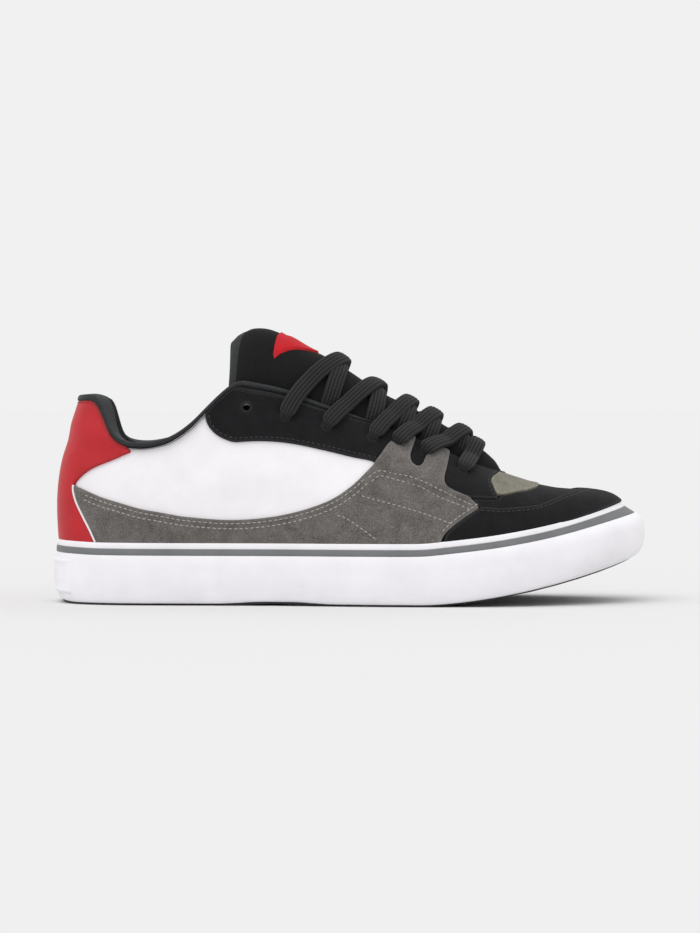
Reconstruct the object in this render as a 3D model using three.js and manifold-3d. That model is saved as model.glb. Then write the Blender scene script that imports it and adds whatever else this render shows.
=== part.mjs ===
// Low skate shoe for the right foot, standing empty on its sole.
// Millimetres. +X runs to the toe, -Y to the outer side of the foot and +Z up from the floor.
// The upper is a last-shaped form: sections stand around the sole's outline and lean in to a crown line.

import * as THREE from 'three';
import { mergeVertices } from 'three/addons/utils/BufferGeometryUtils.js';
import Module from 'manifold-3d';

const wasm = await Module();
wasm.setup();

// Driving sizes of the shoe
const LENGTH = 300;
const BALL_WIDTH = 109;
const HEEL_WIDTH = 80;
const SOLE_HEIGHT = 32.5;
const HEEL_HEIGHT = 72;
const INSTEP_HEIGHT = 82;
const TOE_HEIGHT = 14;
const TOE_SPRING = 24;
const BACK_CURVE = 3;

// Driving sizes of the pieces
const WALL = 2;
const OVERLAY = 1.2;
const GAP = 0.3;
const HEEL_STACK = 17;
const BALL_STACK = 9.5;
const ARCH_RISE = 1;
const HEEL_BEVEL = 2;
const TREAD_PROUD = 1;
const GROOVE_DEPTH = 1.6;
const GROOVE_WIDTH = 3;
const FOXING_WALL = 4.4;
const FOXING_LIP = 2.2;
const STRIPE_DROP = 3;
const STRIPE_HEIGHT = 3.2;
const STRIPE_DEPTH = 0.9;
const HEEL_PLATE_HEIGHT = 17;
const HEEL_PLATE_WIDTH = 44;
const HEEL_PLATE_THICK = 0.9;
const INSOLE_THICK = 4.5;
const COLLAR_PAD = 9;
const COLLAR_ROLL = 4.6;
const COLLAR_DEPTH = 32;
const TONGUE_PAD = 13;
const TONGUE_WING = 8;
const PATCH_LENGTH = 20;
const PATCH_WIDTH = 34;
const PATCH_TIP = 3;
const PATCH_THICK = 0.8;
const TONGUE_SINK = 2.2;
const TONGUE_CLEAR = 1;
const COLLAR_BAND = 2.4;
const COLLAR_BAND_PAD = 0.9;
const COLLAR_BAND_DEPTH = 5;
const LIP_ROUND = 0.5;
const LIP_DRAW = 0.4;
const PLATE_DROP = 3;
const EYELET_HOLE = 4.4;
const LACE_WIDTH = 8.4;
const LACE_THICK = 3.8;
const LACE_SLACK = 0.9;

// Where along the length the parts of the foot lie, as shares of the length from the heel
const HEEL_AT = 0.12;
const BALL_AT = 0.62;
const COLLAR_FRONT_AT = 0.345;
const THROAT_FRONT_AT = 0.757;
const PATCH_BACK_AT = 0.381;

// Sections from the heel's back to the toe's tip: place along the sole, half width on the outer and the
// inner side as shares of the width there, lean of the crown to the toe as a share of the length, drift
// of the crown to the inner side as a share of the ball width, and how square the section is.
const SECTIONS = [
  { at: 0.0152, outer: 0, inner: 0, lean: 0.165, drift: 0, square: 1.9 },
  { at: 0.0252, outer: 0.213, inner: 0.213, lean: 0.158, drift: 0, square: 1.9 },
  { at: 0.059, outer: 0.35, inner: 0.344, lean: 0.132, drift: 0, square: 1.92 },
  { at: 0.12, outer: 0.431, inner: 0.419, lean: 0.084, drift: 0, square: 1.97 },
  { at: 0.207, outer: 0.456, inner: 0.431, lean: 0.045, drift: 0, square: 2.02 },
  { at: 0.3, outer: 0.469, inner: 0.42, lean: 0.033, drift: 0, square: 2.05 },
  { at: 0.393, outer: 0.46, inner: 0.395, lean: 0.027, drift: 0.002, square: 2.1 },
  { at: 0.487, outer: 0.452, inner: 0.38, lean: 0.02, drift: 0.009, square: 2.15 },
  { at: 0.58, outer: 0.454, inner: 0.4, lean: 0.01, drift: 0.018, square: 2.2 },
  { at: 0.667, outer: 0.46, inner: 0.444, lean: 0, drift: 0.028, square: 2.3 },
  { at: 0.753, outer: 0.441, inner: 0.455, lean: -0.017, drift: 0.037, square: 2.45 },
  { at: 0.84, outer: 0.364, inner: 0.417, lean: -0.047, drift: 0.046, square: 2.7 },
  { at: 0.913, outer: 0.236, inner: 0.33, lean: -0.083, drift: 0.055, square: 3 },
  { at: 0.96, outer: 0.073, inner: 0.22, lean: -0.113, drift: 0.06, square: 3.2 },
  { at: 0.976, outer: -0.082, inner: 0.082, lean: -0.123, drift: 0.064, square: 3.3 },
];

// The crown line of the form, and the tongue's crest: height above the sole as a share of the rise there
const CROWN = [
  { at: 0, up: 1.86 }, { at: 0.133, up: 1.84 }, { at: 0.2, up: 1.743 }, { at: 0.25, up: 1.6 },
  { at: 0.3, up: 1.461 }, { at: 0.333, up: 1.356 }, { at: 0.367, up: 1.26 }, { at: 0.4, up: 1.162 },
  { at: 0.433, up: 1.055 }, { at: 0.467, up: 0.985 }, { at: 0.517, up: 0.945 }, { at: 0.583, up: 0.975 },
  { at: 0.65, up: 1.048 }, { at: 0.7, up: 1.105 }, { at: 0.75, up: 1.187 }, { at: 0.773, up: 1.211 },
  { at: 0.803, up: 1.2 }, { at: 0.83, up: 1.089 }, { at: 0.857, up: 0.875 }, { at: 0.89, up: 0.636 },
  { at: 0.933, up: 0.348 }, { at: 1, up: -0.1 },
];
const CREST = [
  { at: 0.3, up: 1.28 }, { at: 0.318, up: 1.317 }, { at: 0.335, up: 1.33 }, { at: 0.35, up: 1.32 },
  { at: 0.377, up: 1.28 }, { at: 0.417, up: 1.207 }, { at: 0.445, up: 1.165 }, { at: 0.487, up: 1.11 },
  { at: 0.537, up: 1.085 }, { at: 0.587, up: 1.15 }, { at: 0.637, up: 1.265 }, { at: 0.697, up: 1.4 },
  { at: 0.737, up: 1.4 }, { at: 0.757, up: 1.25 }, { at: 0.8, up: 1 },
];

// Half width of the throat as a share of the ball width, and the tongue's padding along it
const THROAT = [
  { at: 0.28, half: 0.235 }, { at: 0.4, half: 0.235 }, { at: 0.5, half: 0.229 },
  { at: 0.58, half: 0.211 }, { at: 0.65, half: 0.183 }, { at: 0.7, half: 0.155 }, { at: 0.8, half: 0.13 },
];
const TONGUE_FILL = [
  { at: 0.28, fill: 0.5 }, { at: 0.32, fill: 0.85 }, { at: 0.36, fill: 1 }, { at: 0.5, fill: 0.95 },
  { at: 0.62, fill: 0.7 }, { at: 0.72, fill: 0.45 }, { at: 0.8, fill: 0.16 },
];

// The collar's edge seen from the side
const COLLAR_EDGE = [
  { at: -0.05, up: 0.945 }, { at: 0.045, up: 0.95 }, { at: 0.072, up: 0.953 }, { at: 0.083, up: 0.91 },
  { at: 0.094, up: 0.81 }, { at: 0.105, up: 0.71 }, { at: 0.122, up: 0.653 }, { at: 0.15, up: 0.634 },
  { at: 0.177, up: 0.646 }, { at: 0.202, up: 0.677 }, { at: 0.235, up: 0.763 }, { at: 0.268, up: 0.881 },
  { at: 0.3, up: 0.972 }, { at: 0.318, up: 0.985 }, { at: 0.345, up: 0.96 }, { at: 0.38, up: 0.9 },
];
// How far the foxing's top edge lies below the sole's height, with its waves
const FOXING_EDGE = [
  { at: 0, drop: 0.5 }, { at: 0.03, drop: 0.8 }, { at: 0.09, drop: 1.4 }, { at: 0.6, drop: 1.4 },
  { at: 0.67, drop: 0.7 }, { at: 0.75, drop: 1 }, { at: 0.84, drop: 1.4 }, { at: 0.93, drop: 0.9 },
  { at: 0.96, drop: 1 }, { at: 1, drop: 2.6 },
];
// How far the foxing stands out from the sole's outline, from its foot to its top, at heel, side and toe
const FOXING_BULGE = [
  { rise: 0, heel: 0.3, side: 0.62, toe: 0.5 },
  { rise: 0.12, heel: 0.55, side: 0.82, toe: 1.2 },
  { rise: 0.35, heel: 0.78, side: 1, toe: 1.62 },
  { rise: 0.62, heel: 0.74, side: 0.93, toe: 1.5 },
];

// Seams of the overlays seen from the side, as places along the length and shares of the rise
const COUNTER_TOP = [
  [0.148, 0.75], [0.148, 0.634], [0.123, 0.579], [0.095, 0.53], [0.079, 0.503], [0.062, 0.462],
  [0.047, 0.406],
];
const COUNTER_FRONT = [
  [0.042, 0.375], [0.042, 0.331], [0.047, 0.255], [0.059, 0.151], [0.07, 0.062], [0.083, -0.1],
];
const SADDLE_TOP = [
  [0.046, 0.365], [0.064, 0.331], [0.089, 0.29], [0.122, 0.249], [0.155, 0.211], [0.188, 0.187],
  [0.221, 0.162], [0.253, 0.146], [0.286, 0.133], [0.319, 0.129], [0.352, 0.135], [0.385, 0.15],
  [0.418, 0.176], [0.451, 0.218], [0.476, 0.268], [0.5, 0.344], [0.52, 0.433], [0.542, 0.558],
  [0.558, 0.685], [0.57, 0.789], [0.578, 0.95],
];
const SADDLE_NOTCH = [
  [0.61, 0.96], [0.601, 0.78], [0.598, 0.708], [0.601, 0.665], [0.61, 0.655], [0.618, 0.7],
  [0.625, 0.814], [0.634, 1.02],
];
const SADDLE_FRONT = [
  [0.667, 1.15], [0.66, 0.862], [0.654, 0.664], [0.657, 0.594], [0.667, 0.566], [0.685, 0.553],
  [0.698, 0.543], [0.714, 0.441], [0.703, 0.356], [0.687, 0.255], [0.669, 0.145], [0.655, 0.051],
  [0.643, -0.1],
];
const EYESTAY_FOOT = [
  [0.262, 0.95], [0.26, 0.834], [0.263, 0.778], [0.271, 0.727], [0.282, 0.684], [0.296, 0.65],
  [0.309, 0.629], [0.327, 0.623], [0.355, 0.612], [0.385, 0.595], [0.418, 0.572], [0.467, 0.548],
  [0.509, 0.547], [0.543, 0.558], [0.6, 0.52], [0.65, 0.5], [0.7, 0.56], [0.741, 0.66],
];
const EYESTAY_FRONT = [
  [0.747, 0.7], [0.741, 0.746], [0.736, 0.865], [0.733, 0.978], [0.745, 1.14], [0.77, 1.4],
];
const PATCH_EDGE = [
  [0.741, 0.73], [0.758, 0.78], [0.775, 0.87], [0.792, 0.973], [0.808, 1.08], [0.819, 1.16], [0.836, 1.5],
];
const TOE_EDGE = [
  [0.655, 0.03], [0.669, 0.145], [0.687, 0.255], [0.703, 0.356], [0.714, 0.441], [0.748, 0.47],
  [0.781, 0.5], [0.814, 0.56], [0.847, 0.65], [0.88, 0.66], [0.905, 0.62], [0.918, 0.9],
];

// Eyelets of one side, seen from the side
const EYELETS = [
  [0.328, 0.837], [0.393, 0.749], [0.461, 0.698], [0.537, 0.718], [0.578, 0.77], [0.623, 0.83], [0.685, 0.87],
];

const clamp = (t, low, high) => Math.min(high, Math.max(low, t));
const smooth = (t) => clamp(t, 0, 1) ** 2 * (3 - 2 * clamp(t, 0, 1));
const mix = (a, b, t) => a + (b - a) * t;
const atOf = (x) => x / LENGTH + 0.5;
const xOf = (at) => (at - 0.5) * LENGTH;

// A smooth curve through one column of a table, against its column at (or rise)
function lineOf(rows, key, by = 'at') {
  const slope = (i) => {
    const a = rows[Math.max(0, i - 1)];
    const b = rows[Math.min(rows.length - 1, i + 1)];
    return (b[key] - a[key]) / (b[by] - a[by]);
  };
  return (at) => {
    const t = clamp(at, rows[0][by], rows[rows.length - 1][by]);
    const i = clamp(rows.findIndex((row) => row[by] > t) - 1, 0, rows.length - 2);
    const k = rows[rows.length - 1][by] <= t ? rows.length - 2 : i;
    const span = rows[k + 1][by] - rows[k][by];
    const s = (t - rows[k][by]) / span;
    const ends = mix(rows[k][key], rows[k + 1][key], s * s * (3 - 2 * s));
    return ends + span * (slope(k) * s * (1 - s) ** 2 - slope(k + 1) * s * s * (1 - s));
  };
}

const crownUp = lineOf(CROWN, 'up');
const crestUp = lineOf(CREST, 'up');
const throatHalf = lineOf(THROAT, 'half');
const tongueFill = lineOf(TONGUE_FILL, 'fill');
const collarUp = lineOf(COLLAR_EDGE, 'up');
const foxingDrop = lineOf(FOXING_EDGE, 'drop');

// Heights along the shoe
const spring = (at) => TOE_SPRING * Math.max(0, (at - BALL_AT) / (1 - BALL_AT)) ** 1.6;
const width = (at) => mix(HEEL_WIDTH, BALL_WIDTH, smooth((at - 0.3) / 0.3));
const stack = (at) => mix(HEEL_STACK, BALL_STACK, smooth((at - 0.1) / 0.7));
const slabTop = (at) => spring(at) + stack(at);
const arch = (at) => ARCH_RISE * smooth((at - 0.28) / 0.08) * smooth((0.48 - at) / 0.08);
const heelBevel = (at) => HEEL_BEVEL * clamp((0.05 - at) / 0.05, 0, 1) ** 2;
const treadHeight = (at) => spring(at) + arch(at) + heelBevel(at);
const foxingTop = (at) => SOLE_HEIGHT - foxingDrop(at) + spring(at);

// Height of the panels above the sole: heel to instep, then down to the toe
function rise(at) {
  if (at < 0.42) return mix(HEEL_HEIGHT, INSTEP_HEIGHT, smooth((at - 0.2) / 0.22));
  return mix(INSTEP_HEIGHT, TOE_HEIGHT, smooth((at - 0.42) / 0.43));
}
const level = (at, up) => SOLE_HEIGHT + spring(at) + up * rise(at);
const crownHeight = (x) => level(atOf(x), crownUp(atOf(x)));
const collarHeight = (x) => level(atOf(x), collarUp(atOf(x)));

// The outline runs from the heel (0) along the outer side to the toe and back along the inner side
const TOE = SECTIONS.length - 1;
const AROUND = 2 * TOE;

function sectionRow(index) {
  const i = ((index % AROUND) + AROUND) % AROUND;
  const row = SECTIONS[i <= TOE ? i : AROUND - i];
  const side = i <= TOE ? -row.outer : row.inner;
  return [row.at, side * width(row.at), row.lean, row.drift, row.square];
}

// Place, half width, lean, drift and squareness at any point around the outline
function sectionAt(around) {
  const i = Math.floor(around);
  const t = around - i;
  const [a, b, c, d] = [-1, 0, 1, 2].map((step) => sectionRow(i + step));
  return a.map((value, k) => 0.5 * (2 * b[k] + (c[k] - value) * t
    + (2 * value - 5 * b[k] + 4 * c[k] - d[k]) * t * t
    + (3 * b[k] - value - 3 * c[k] + d[k]) * t ** 3));
}

// The heel's back swells over the foxing and draws in again below the collar
const BACK_CURVE_TOP = 0.58;
function backCurve(at, tall) {
  const heel = smooth((HEEL_AT - at) / HEEL_AT);
  return BACK_CURVE * heel * Math.sin(Math.PI * Math.min(1, tall / BACK_CURVE_TOP)) ** 2;
}

// A point of the bare form: turn runs from 0 at the sole to 1 at the crown
function barePoint(around, turn) {
  const [at, side, lean, drift, square] = sectionAt(around);
  const angle = turn * Math.PI / 2;
  const [c, s] = [Math.max(0, Math.cos(angle)), Math.sin(angle)];
  const radius = (c ** square + s ** square) ** (-1 / square);
  const inward = 1 - radius * c;
  const tall = radius * s;
  const x = xOf(at) + lean * LENGTH * inward - backCurve(at, tall);
  const y = mix(side, drift * BALL_WIDTH, inward);
  const foot = slabTop(at) + GAP;
  return new THREE.Vector3(x, y, mix(foot, crownHeight(x), tall));
}

// The outward normal of the form
const STEP = 1e-3;
function formNormal(around, turn) {
  if (turn > 0.999) {
    const x = barePoint(around, 1).x;
    const slope = (crownHeight(x + 1) - crownHeight(x - 1)) / 2;
    return new THREE.Vector3(-slope, 0, 1).normalize();
  }
  const along = barePoint(around + STEP, turn).sub(barePoint(around - STEP, turn));
  const low = Math.max(0, turn - STEP);
  const up = barePoint(around, turn + STEP).sub(barePoint(around, low));
  return along.cross(up).normalize();
}

// A point that stands off the form: the form's walls, linings and overlays all come from this
function formPoint(around, turn, off = 0) {
  return barePoint(around, turn).addScaledVector(formNormal(around, turn), off);
}

// A closed body from rings of equal length: its ends are joined to each other, or closed by fans or strips
function ringsBody(rings, ends = 'fan') {
  const count = rings[0].length;
  const points = rings.flat();
  const faces = [];
  const turns = ends === 'joined' ? rings.length : rings.length - 1;
  for (let i = 0; i < turns; i++) {
    const next = ((i + 1) % rings.length) * count;
    for (let j = 0; j < count; j++) {
      const k = (j + 1) % count;
      faces.push(i * count + j, i * count + k, next + k, i * count + j, next + k, next + j);
    }
  }
  const lids = ends === 'joined' ? [] : [[0, true], [rings.length - 1, false]];
  for (const [ring, flip] of lids) {
    if (ends === 'strip') {
      for (let j = 0; j < count / 2 - 1; j++) {
        const [a, b] = [ring * count + j, ring * count + j + 1];
        const [c, d] = [ring * count + count - 2 - j, ring * count + count - 1 - j];
        faces.push(...(flip ? [a, c, b, a, d, c] : [a, b, c, a, c, d]));
      }
    } else {
      const outline = rings[ring];
      const middle = outline.reduce((sum, p) => sum.add(p), new THREE.Vector3()).divideScalar(count);
      points.push(middle);
      for (let j = 0; j < count; j++) {
        const [a, b] = [ring * count + j, ring * count + ((j + 1) % count)];
        faces.push(...(flip ? [b, a, points.length - 1] : [a, b, points.length - 1]));
      }
    }
  }
  return bodyOf(points, faces);
}

function bodyOf(points, faces) {
  const geometry = new THREE.BufferGeometry().setFromPoints(points);
  geometry.setIndex(faces);
  return solidOf(geometry);
}

// A solid for cutting and joining, from any closed geometry
function solidOf(source) {
  const geometry = source.clone();
  geometry.deleteAttribute('normal');
  geometry.deleteAttribute('uv');
  const merged = mergeVertices(geometry, 1e-4);
  const index = [];
  const raw = merged.index.array;
  for (let i = 0; i < raw.length; i += 3) {
    const [a, b, c] = [raw[i], raw[i + 1], raw[i + 2]];
    if (a !== b && b !== c && c !== a) index.push(a, b, c);
  }
  const mesh = new wasm.Mesh({
    numProp: 3,
    vertProperties: new Float32Array(merged.attributes.position.array),
    triVerts: new Uint32Array(index),
  });
  const solid = new wasm.Manifold(mesh);
  return solid.volume() < 0 ? bodyFlipped(mesh) : solid;
}

function bodyFlipped(mesh) {
  const flipped = mesh.triVerts.slice();
  for (let i = 0; i < flipped.length; i += 3) {
    [flipped[i], flipped[i + 1]] = [flipped[i + 1], flipped[i]];
  }
  return new wasm.Manifold(new wasm.Mesh({
    numProp: 3,
    vertProperties: mesh.vertProperties,
    triVerts: flipped,
  }));
}

// Steps around the outline and up the form
const TURNS = [0, 0.17, 0.35, 0.54, 0.75, 1];
const ROUND_HEEL = { end: 3, step: 0.5 };
const LONG_SIDE = { end: 10.5, step: 0.9375 };
const stations = [];
for (let row = 0; row < TOE;) {
  stations.push(row);
  row += row >= ROUND_HEEL.end && row < LONG_SIDE.end ? LONG_SIDE.step : ROUND_HEEL.step;
}
stations.push(TOE, ...stations.slice(1).reverse().map((row) => AROUND - row));

// A shell of levels around the outline, each level a list of points from heel round to heel, with
// straight strips across its lowest and highest level
function levelsBody(levels) {
  const count = stations.length;
  const points = levels.flat();
  const faces = [];
  for (let i = 0; i < levels.length - 1; i++) {
    for (let j = 0; j < count; j++) {
      const k = (j + 1) % count;
      const [a, b] = [i * count + j, i * count + k];
      faces.push(a, b, b + count, a, b + count, a + count);
    }
  }
  const across = (base, flip) => {
    for (let j = 0; j < count / 2; j++) {
      const [a, b] = [base + j, base + j + 1];
      const [c, d] = [base + ((count - j - 1) % count), base + ((count - j) % count)];
      const quad = flip ? [a, c, b, a, d, c] : [a, b, c, a, c, d];
      faces.push(...quad);
    }
  };
  across(0, true);
  across((levels.length - 1) * count, false);
  return bodyOf(points, faces);
}

// The form standing off by a distance; its foot drops straight down to a depth below the slab's top
function form(off, drop = 0) {
  const levels = TURNS.map((turn) => stations.map((around) => formPoint(around, turn, off)));
  if (drop > 0) levels.unshift(levels[0].map((p) => new THREE.Vector3(p.x, p.y, p.z - drop)));
  return levelsBody(levels);
}

// Outlines seen from the side become cutters right across the shoe or on one side of it
const REACH = BALL_WIDTH;
const HIGH = 3 * HEEL_HEIGHT;
const sidePoint = ([at, up]) => new THREE.Vector2(xOf(at), level(at, up));

function sideCutter(outline, side = 0) {
  const depth = side === 0 ? 2 * REACH : REACH;
  const geometry = new THREE.ExtrudeGeometry(new THREE.Shape(outline), { depth, bevelEnabled: false });
  geometry.rotateX(Math.PI / 2);
  geometry.translate(0, side < 0 ? 0 : REACH, 0);
  return solidOf(geometry);
}

// The same outline with every edge moved out, for the seam next to it
function grown(outline, by) {
  const area = THREE.ShapeUtils.area(outline);
  const way = Math.sign(area) * by;
  return outline.map((p, i) => {
    const before = outline[(i + outline.length - 1) % outline.length];
    const after = outline[(i + 1) % outline.length];
    const a = p.clone().sub(before).normalize();
    const b = after.clone().sub(p).normalize();
    const normal = new THREE.Vector2(a.y + b.y, -a.x - b.x).normalize();
    const stretch = 1 / Math.max(0.5, normal.dot(new THREE.Vector2(a.y, -a.x)));
    return p.clone().addScaledVector(normal, way * stretch);
  });
}

// What lies above the collar's edge, back of the lacing
function aboveCollar(lift = 0, front = COLLAR_FRONT_AT) {
  const steps = 48;
  const edge = [];
  for (let i = 0; i <= steps; i++) {
    const at = mix(-0.05, front, i / steps);
    edge.push(new THREE.Vector2(xOf(at), collarHeight(xOf(at)) + lift));
  }
  const last = edge[edge.length - 1];
  edge.push(new THREE.Vector2(last.x + COLLAR_PAD / 2, HIGH), new THREE.Vector2(edge[0].x, HIGH));
  return sideCutter(edge);
}

// What lies below the foxing's top edge
function belowFoxing(lift = 0) {
  const steps = 24;
  const edge = [];
  for (let i = 0; i <= steps; i++) {
    const at = mix(-0.05, 1.05, i / steps);
    edge.push(new THREE.Vector2(xOf(at), foxingTop(at) + lift));
  }
  edge.push(new THREE.Vector2(edge[steps].x, -HIGH), new THREE.Vector2(edge[0].x, -HIGH));
  return sideCutter(edge);
}

// Half width of the throat, which ends in a round front
const THROAT_BACK_AT = 0.28;
const THROAT_ROUND_AT = 0.7;
function throatWidth(at, inset = 0) {
  const round = clamp((at - THROAT_ROUND_AT) / (THROAT_FRONT_AT - inset / LENGTH - THROAT_ROUND_AT), 0, 1);
  return (throatHalf(at) * BALL_WIDTH - inset) * Math.sqrt(1 - round * round);
}

const THROAT_FLOOR = 0.55;
function throatCutter(inset = 0) {
  const steps = 18;
  const front = THROAT_FRONT_AT - inset / LENGTH;
  const [outer, inner] = [[], []];
  for (let i = 0; i <= steps; i++) {
    const at = mix(THROAT_BACK_AT, front, Math.sin(i / steps * Math.PI / 2));
    const half = throatWidth(at, inset);
    outer.push(new THREE.Vector2(xOf(at), throatMiddle(at) - half));
    if (half > 0) inner.unshift(new THREE.Vector2(xOf(at), throatMiddle(at) + half));
  }
  const shape = new THREE.Shape([...outer, ...inner]);
  const geometry = new THREE.ExtrudeGeometry(shape, { depth: HIGH, bevelEnabled: false });
  geometry.translate(0, 0, level(BALL_AT, 0) + THROAT_FLOOR * TOE_HEIGHT);
  return solidOf(geometry);
}

// The crown drifts to the inner side towards the toe, and the throat with it
const driftLine = lineOf(SECTIONS, 'drift');
function throatMiddle(at) {
  return driftLine(at) * BALL_WIDTH;
}

// The place on the form that lies at a point seen from one side
function placeOf([at, up], side) {
  const [x, z] = [xOf(at), level(at, up)];
  let [row, turn] = [at * TOE, 0.5];
  for (let round = 0; round < 40; round++) {
    const around = side < 0 ? row : AROUND - row;
    const here = barePoint(around, turn);
    row = clamp(row + (x - here.x) / LENGTH * TOE * 0.7, 0.01, TOE - 0.01);
    turn = clamp(turn + (z - here.z) / (crownHeight(x) - SOLE_HEIGHT) * 0.5, 0.01, 0.98);
  }
  return { around: side < 0 ? row : AROUND - row, turn };
}

// Sole

// Rows of points from one side of the sole to the other, one row a section
function slabBody(off, bottom, top) {
  const foot = stations.map((around) => formPoint(around, 0, off));
  const place = (height) => foot.map((p, i) => {
    const at = sectionAt(stations[i])[0];
    return new THREE.Vector3(p.x, p.y, height(at));
  });
  return levelsBody([place(bottom), place(top)]);
}

const GROOVES = [0.07, 0.115, 0.16, 0.205, 0.52, 0.57, 0.62, 0.67, 0.72, 0.77, 0.82, 0.87];
const GROOVE_REACH = 0.36;
const TOE_GROOVES = { at: 0.85, reach: 0.25 };
function grooveCutter(at) {
  const slope = Math.atan((treadHeight(at + 0.01) - treadHeight(at - 0.01)) / (0.02 * LENGTH));
  const long = 2 * (at > TOE_GROOVES.at ? TOE_GROOVES.reach : GROOVE_REACH) * width(at);
  const box = new THREE.BoxGeometry(GROOVE_WIDTH, long, 2 * GROOVE_DEPTH);
  box.rotateY(-slope);
  box.translate(xOf(at), throatMiddle(at), treadHeight(at));
  return solidOf(box);
}

function makeOutsole() {
  let slab = slabBody(0, treadHeight, slabTop);
  for (const at of GROOVES) slab = slab.subtract(grooveCutter(at));
  return slab;
}

// The outward direction in plan at a point of the outline
function planNormal(around) {
  const normal = formNormal(around, 0);
  return new THREE.Vector3(normal.x, normal.y, 0).normalize();
}

// Turn of the form at which it passes a height line
function turnAt(around, heightOf) {
  let [low, high] = [0, 0.95];
  for (let i = 0; i < 30; i++) {
    const turn = (low + high) / 2;
    const p = barePoint(around, turn);
    if (p.z < heightOf(p.x)) low = turn;
    else high = turn;
  }
  return (low + high) / 2;
}

// Bulge of the foxing at a height, from heel over the sides to the toe
const bulgeLines = ['heel', 'side', 'toe'].map((key) => lineOf(FOXING_BULGE, key, 'rise'));
function bulge(at, up) {
  const [heel, side, toe] = bulgeLines.map((line) => line(up));
  const back = mix(heel, side, smooth(at / 0.12));
  return mix(back, toe, smooth((at - 0.78) / 0.2)) * FOXING_WALL;
}

// The foxing's outer face at a distance below its top edge
const foxingEdges = stations.map((around) => {
  const turn = turnAt(around, (x) => foxingTop(atOf(x)));
  return barePoint(around, turn);
});
const LIP_UP = FOXING_BULGE[FOXING_BULGE.length - 1].rise;
function foxingPoint(i, below, off = 0) {
  const around = stations[i];
  const at = sectionAt(around)[0];
  const edge = foxingEdges[i];
  const normal = planNormal(around);
  const bottom = treadHeight(at) + TREAD_PROUD;
  const z = Math.max(bottom, edge.z - below);
  const up = (z - bottom) / (edge.z - bottom);
  const foot = barePoint(around, 0).addScaledVector(normal, bulge(at, Math.min(up, LIP_UP)));
  const lip = edge.clone().addScaledVector(normal, FOXING_LIP);
  const p = foot.lerp(lip, smooth((up - LIP_UP) / (1 - LIP_UP)));
  return p.addScaledVector(normal, off).setZ(z);
}

function foxingLevels() {
  const rows = [];
  const level = (below, off = 0) => rows.unshift(stations.map((_, i) => foxingPoint(i, below, off)));
  level(0, -LIP_DRAW);
  level(LIP_ROUND);
  level(STRIPE_DROP - GAP);
  level(STRIPE_DROP - GAP, -STRIPE_DEPTH - GAP);
  level(STRIPE_DROP + STRIPE_HEIGHT + GAP, -STRIPE_DEPTH - GAP);
  level(STRIPE_DROP + STRIPE_HEIGHT + GAP);
  const share = (up) => rows.unshift(stations.map((_, i) => {
    const at = sectionAt(stations[i])[0];
    const tall = foxingEdges[i].z - treadHeight(at) - TREAD_PROUD;
    return foxingPoint(i, tall * (1 - up));
  }));
  for (const row of FOXING_BULGE.slice().reverse()) share(row.rise);
  return rows;
}

function makeFoxing() {
  return levelsBody(foxingLevels()).subtract(form(GAP, 2 * SOLE_HEIGHT));
}

function makeStripe() {
  const inside = -STRIPE_DEPTH;
  const rings = stations.map((_, i) => [
    foxingPoint(i, STRIPE_DROP, inside),
    foxingPoint(i, STRIPE_DROP + STRIPE_HEIGHT, inside),
    foxingPoint(i, STRIPE_DROP + STRIPE_HEIGHT),
    foxingPoint(i, STRIPE_DROP),
  ]);
  return ringsBody(rings, 'joined');
}

// A bare plate on the back of the foxing
function makeHeelPlate() {
  const low = STRIPE_DROP + STRIPE_HEIGHT + PLATE_DROP;
  const half = Math.round(HEEL_PLATE_WIDTH / HEEL_WIDTH * 3 / ROUND_HEEL.step);
  const grid = (off) => Array.from({ length: 2 * half + 1 }, (_, i) => {
    const around = (i - half) * ROUND_HEEL.step;
    return [0, 0.25, 0.5, 0.75, 1].map((t) => foxingSkin(around, low + t * HEEL_PLATE_HEIGHT, off));
  });
  return sheetBody(grid(GAP + HEEL_PLATE_THICK), grid(GAP));
}

// The foxing's face at any place between two of its stations
function foxingSkin(around, below, off) {
  const loop = (around + AROUND) % AROUND;
  const i = stations.findLastIndex((station) => station <= loop);
  const next = (i + 1) % stations.length;
  const span = (next === 0 ? AROUND : stations[next]) - stations[i];
  return foxingPoint(i, below, off).lerp(foxingPoint(next, below, off), (loop - stations[i]) / span);
}

// A closed sheet between two grids of points, rows by columns
function sheetBody(outer, inner) {
  const rings = outer.map((row, i) => [...row, ...inner[i].slice().reverse()]);
  return ringsBody(rings, 'strip');
}

function makeInsole() {
  const inside = WALL + GAP;
  const rim = (height) => stations.map((around) => {
    const at = sectionAt(around)[0];
    const p = formPoint(around, 0, -inside);
    return new THREE.Vector3(p.x, p.y, slabTop(at) + GAP + height);
  });
  const bed = levelsBody([rim(0), rim(INSOLE_THICK)]);
  return bed.intersect(form(-inside, SOLE_HEIGHT));
}

// Upper

const collarCutter = aboveCollar();
const throat = throatCutter();
const throatKeeper = throatCutter(-GAP);

function eyeletCutter(index, side) {
  const { around, turn } = placeOf(EYELETS[index], side);
  const hole = new THREE.CylinderGeometry(EYELET_HOLE / 2, EYELET_HOLE / 2, 6 * WALL, 8);
  const up = new THREE.Vector3(0, 1, 0);
  hole.applyQuaternion(new THREE.Quaternion().setFromUnitVectors(up, formNormal(around, turn)));
  const centre = barePoint(around, turn);
  hole.translate(centre.x, centre.y, centre.z);
  return solidOf(hole);
}

const holes = [-1, 1].flatMap((side) => EYELETS.map((_, index) => eyeletCutter(index, side)));
const holesSolid = holes.reduce((all, hole) => all.add(hole));

function makeUpper() {
  return form(0)
    .subtract(form(-WALL, SOLE_HEIGHT))
    .subtract(collarCutter)
    .subtract(throat)
    .subtract(holesSolid);
}

// Overlays: layers between two larger forms, cut to their seams

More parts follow.
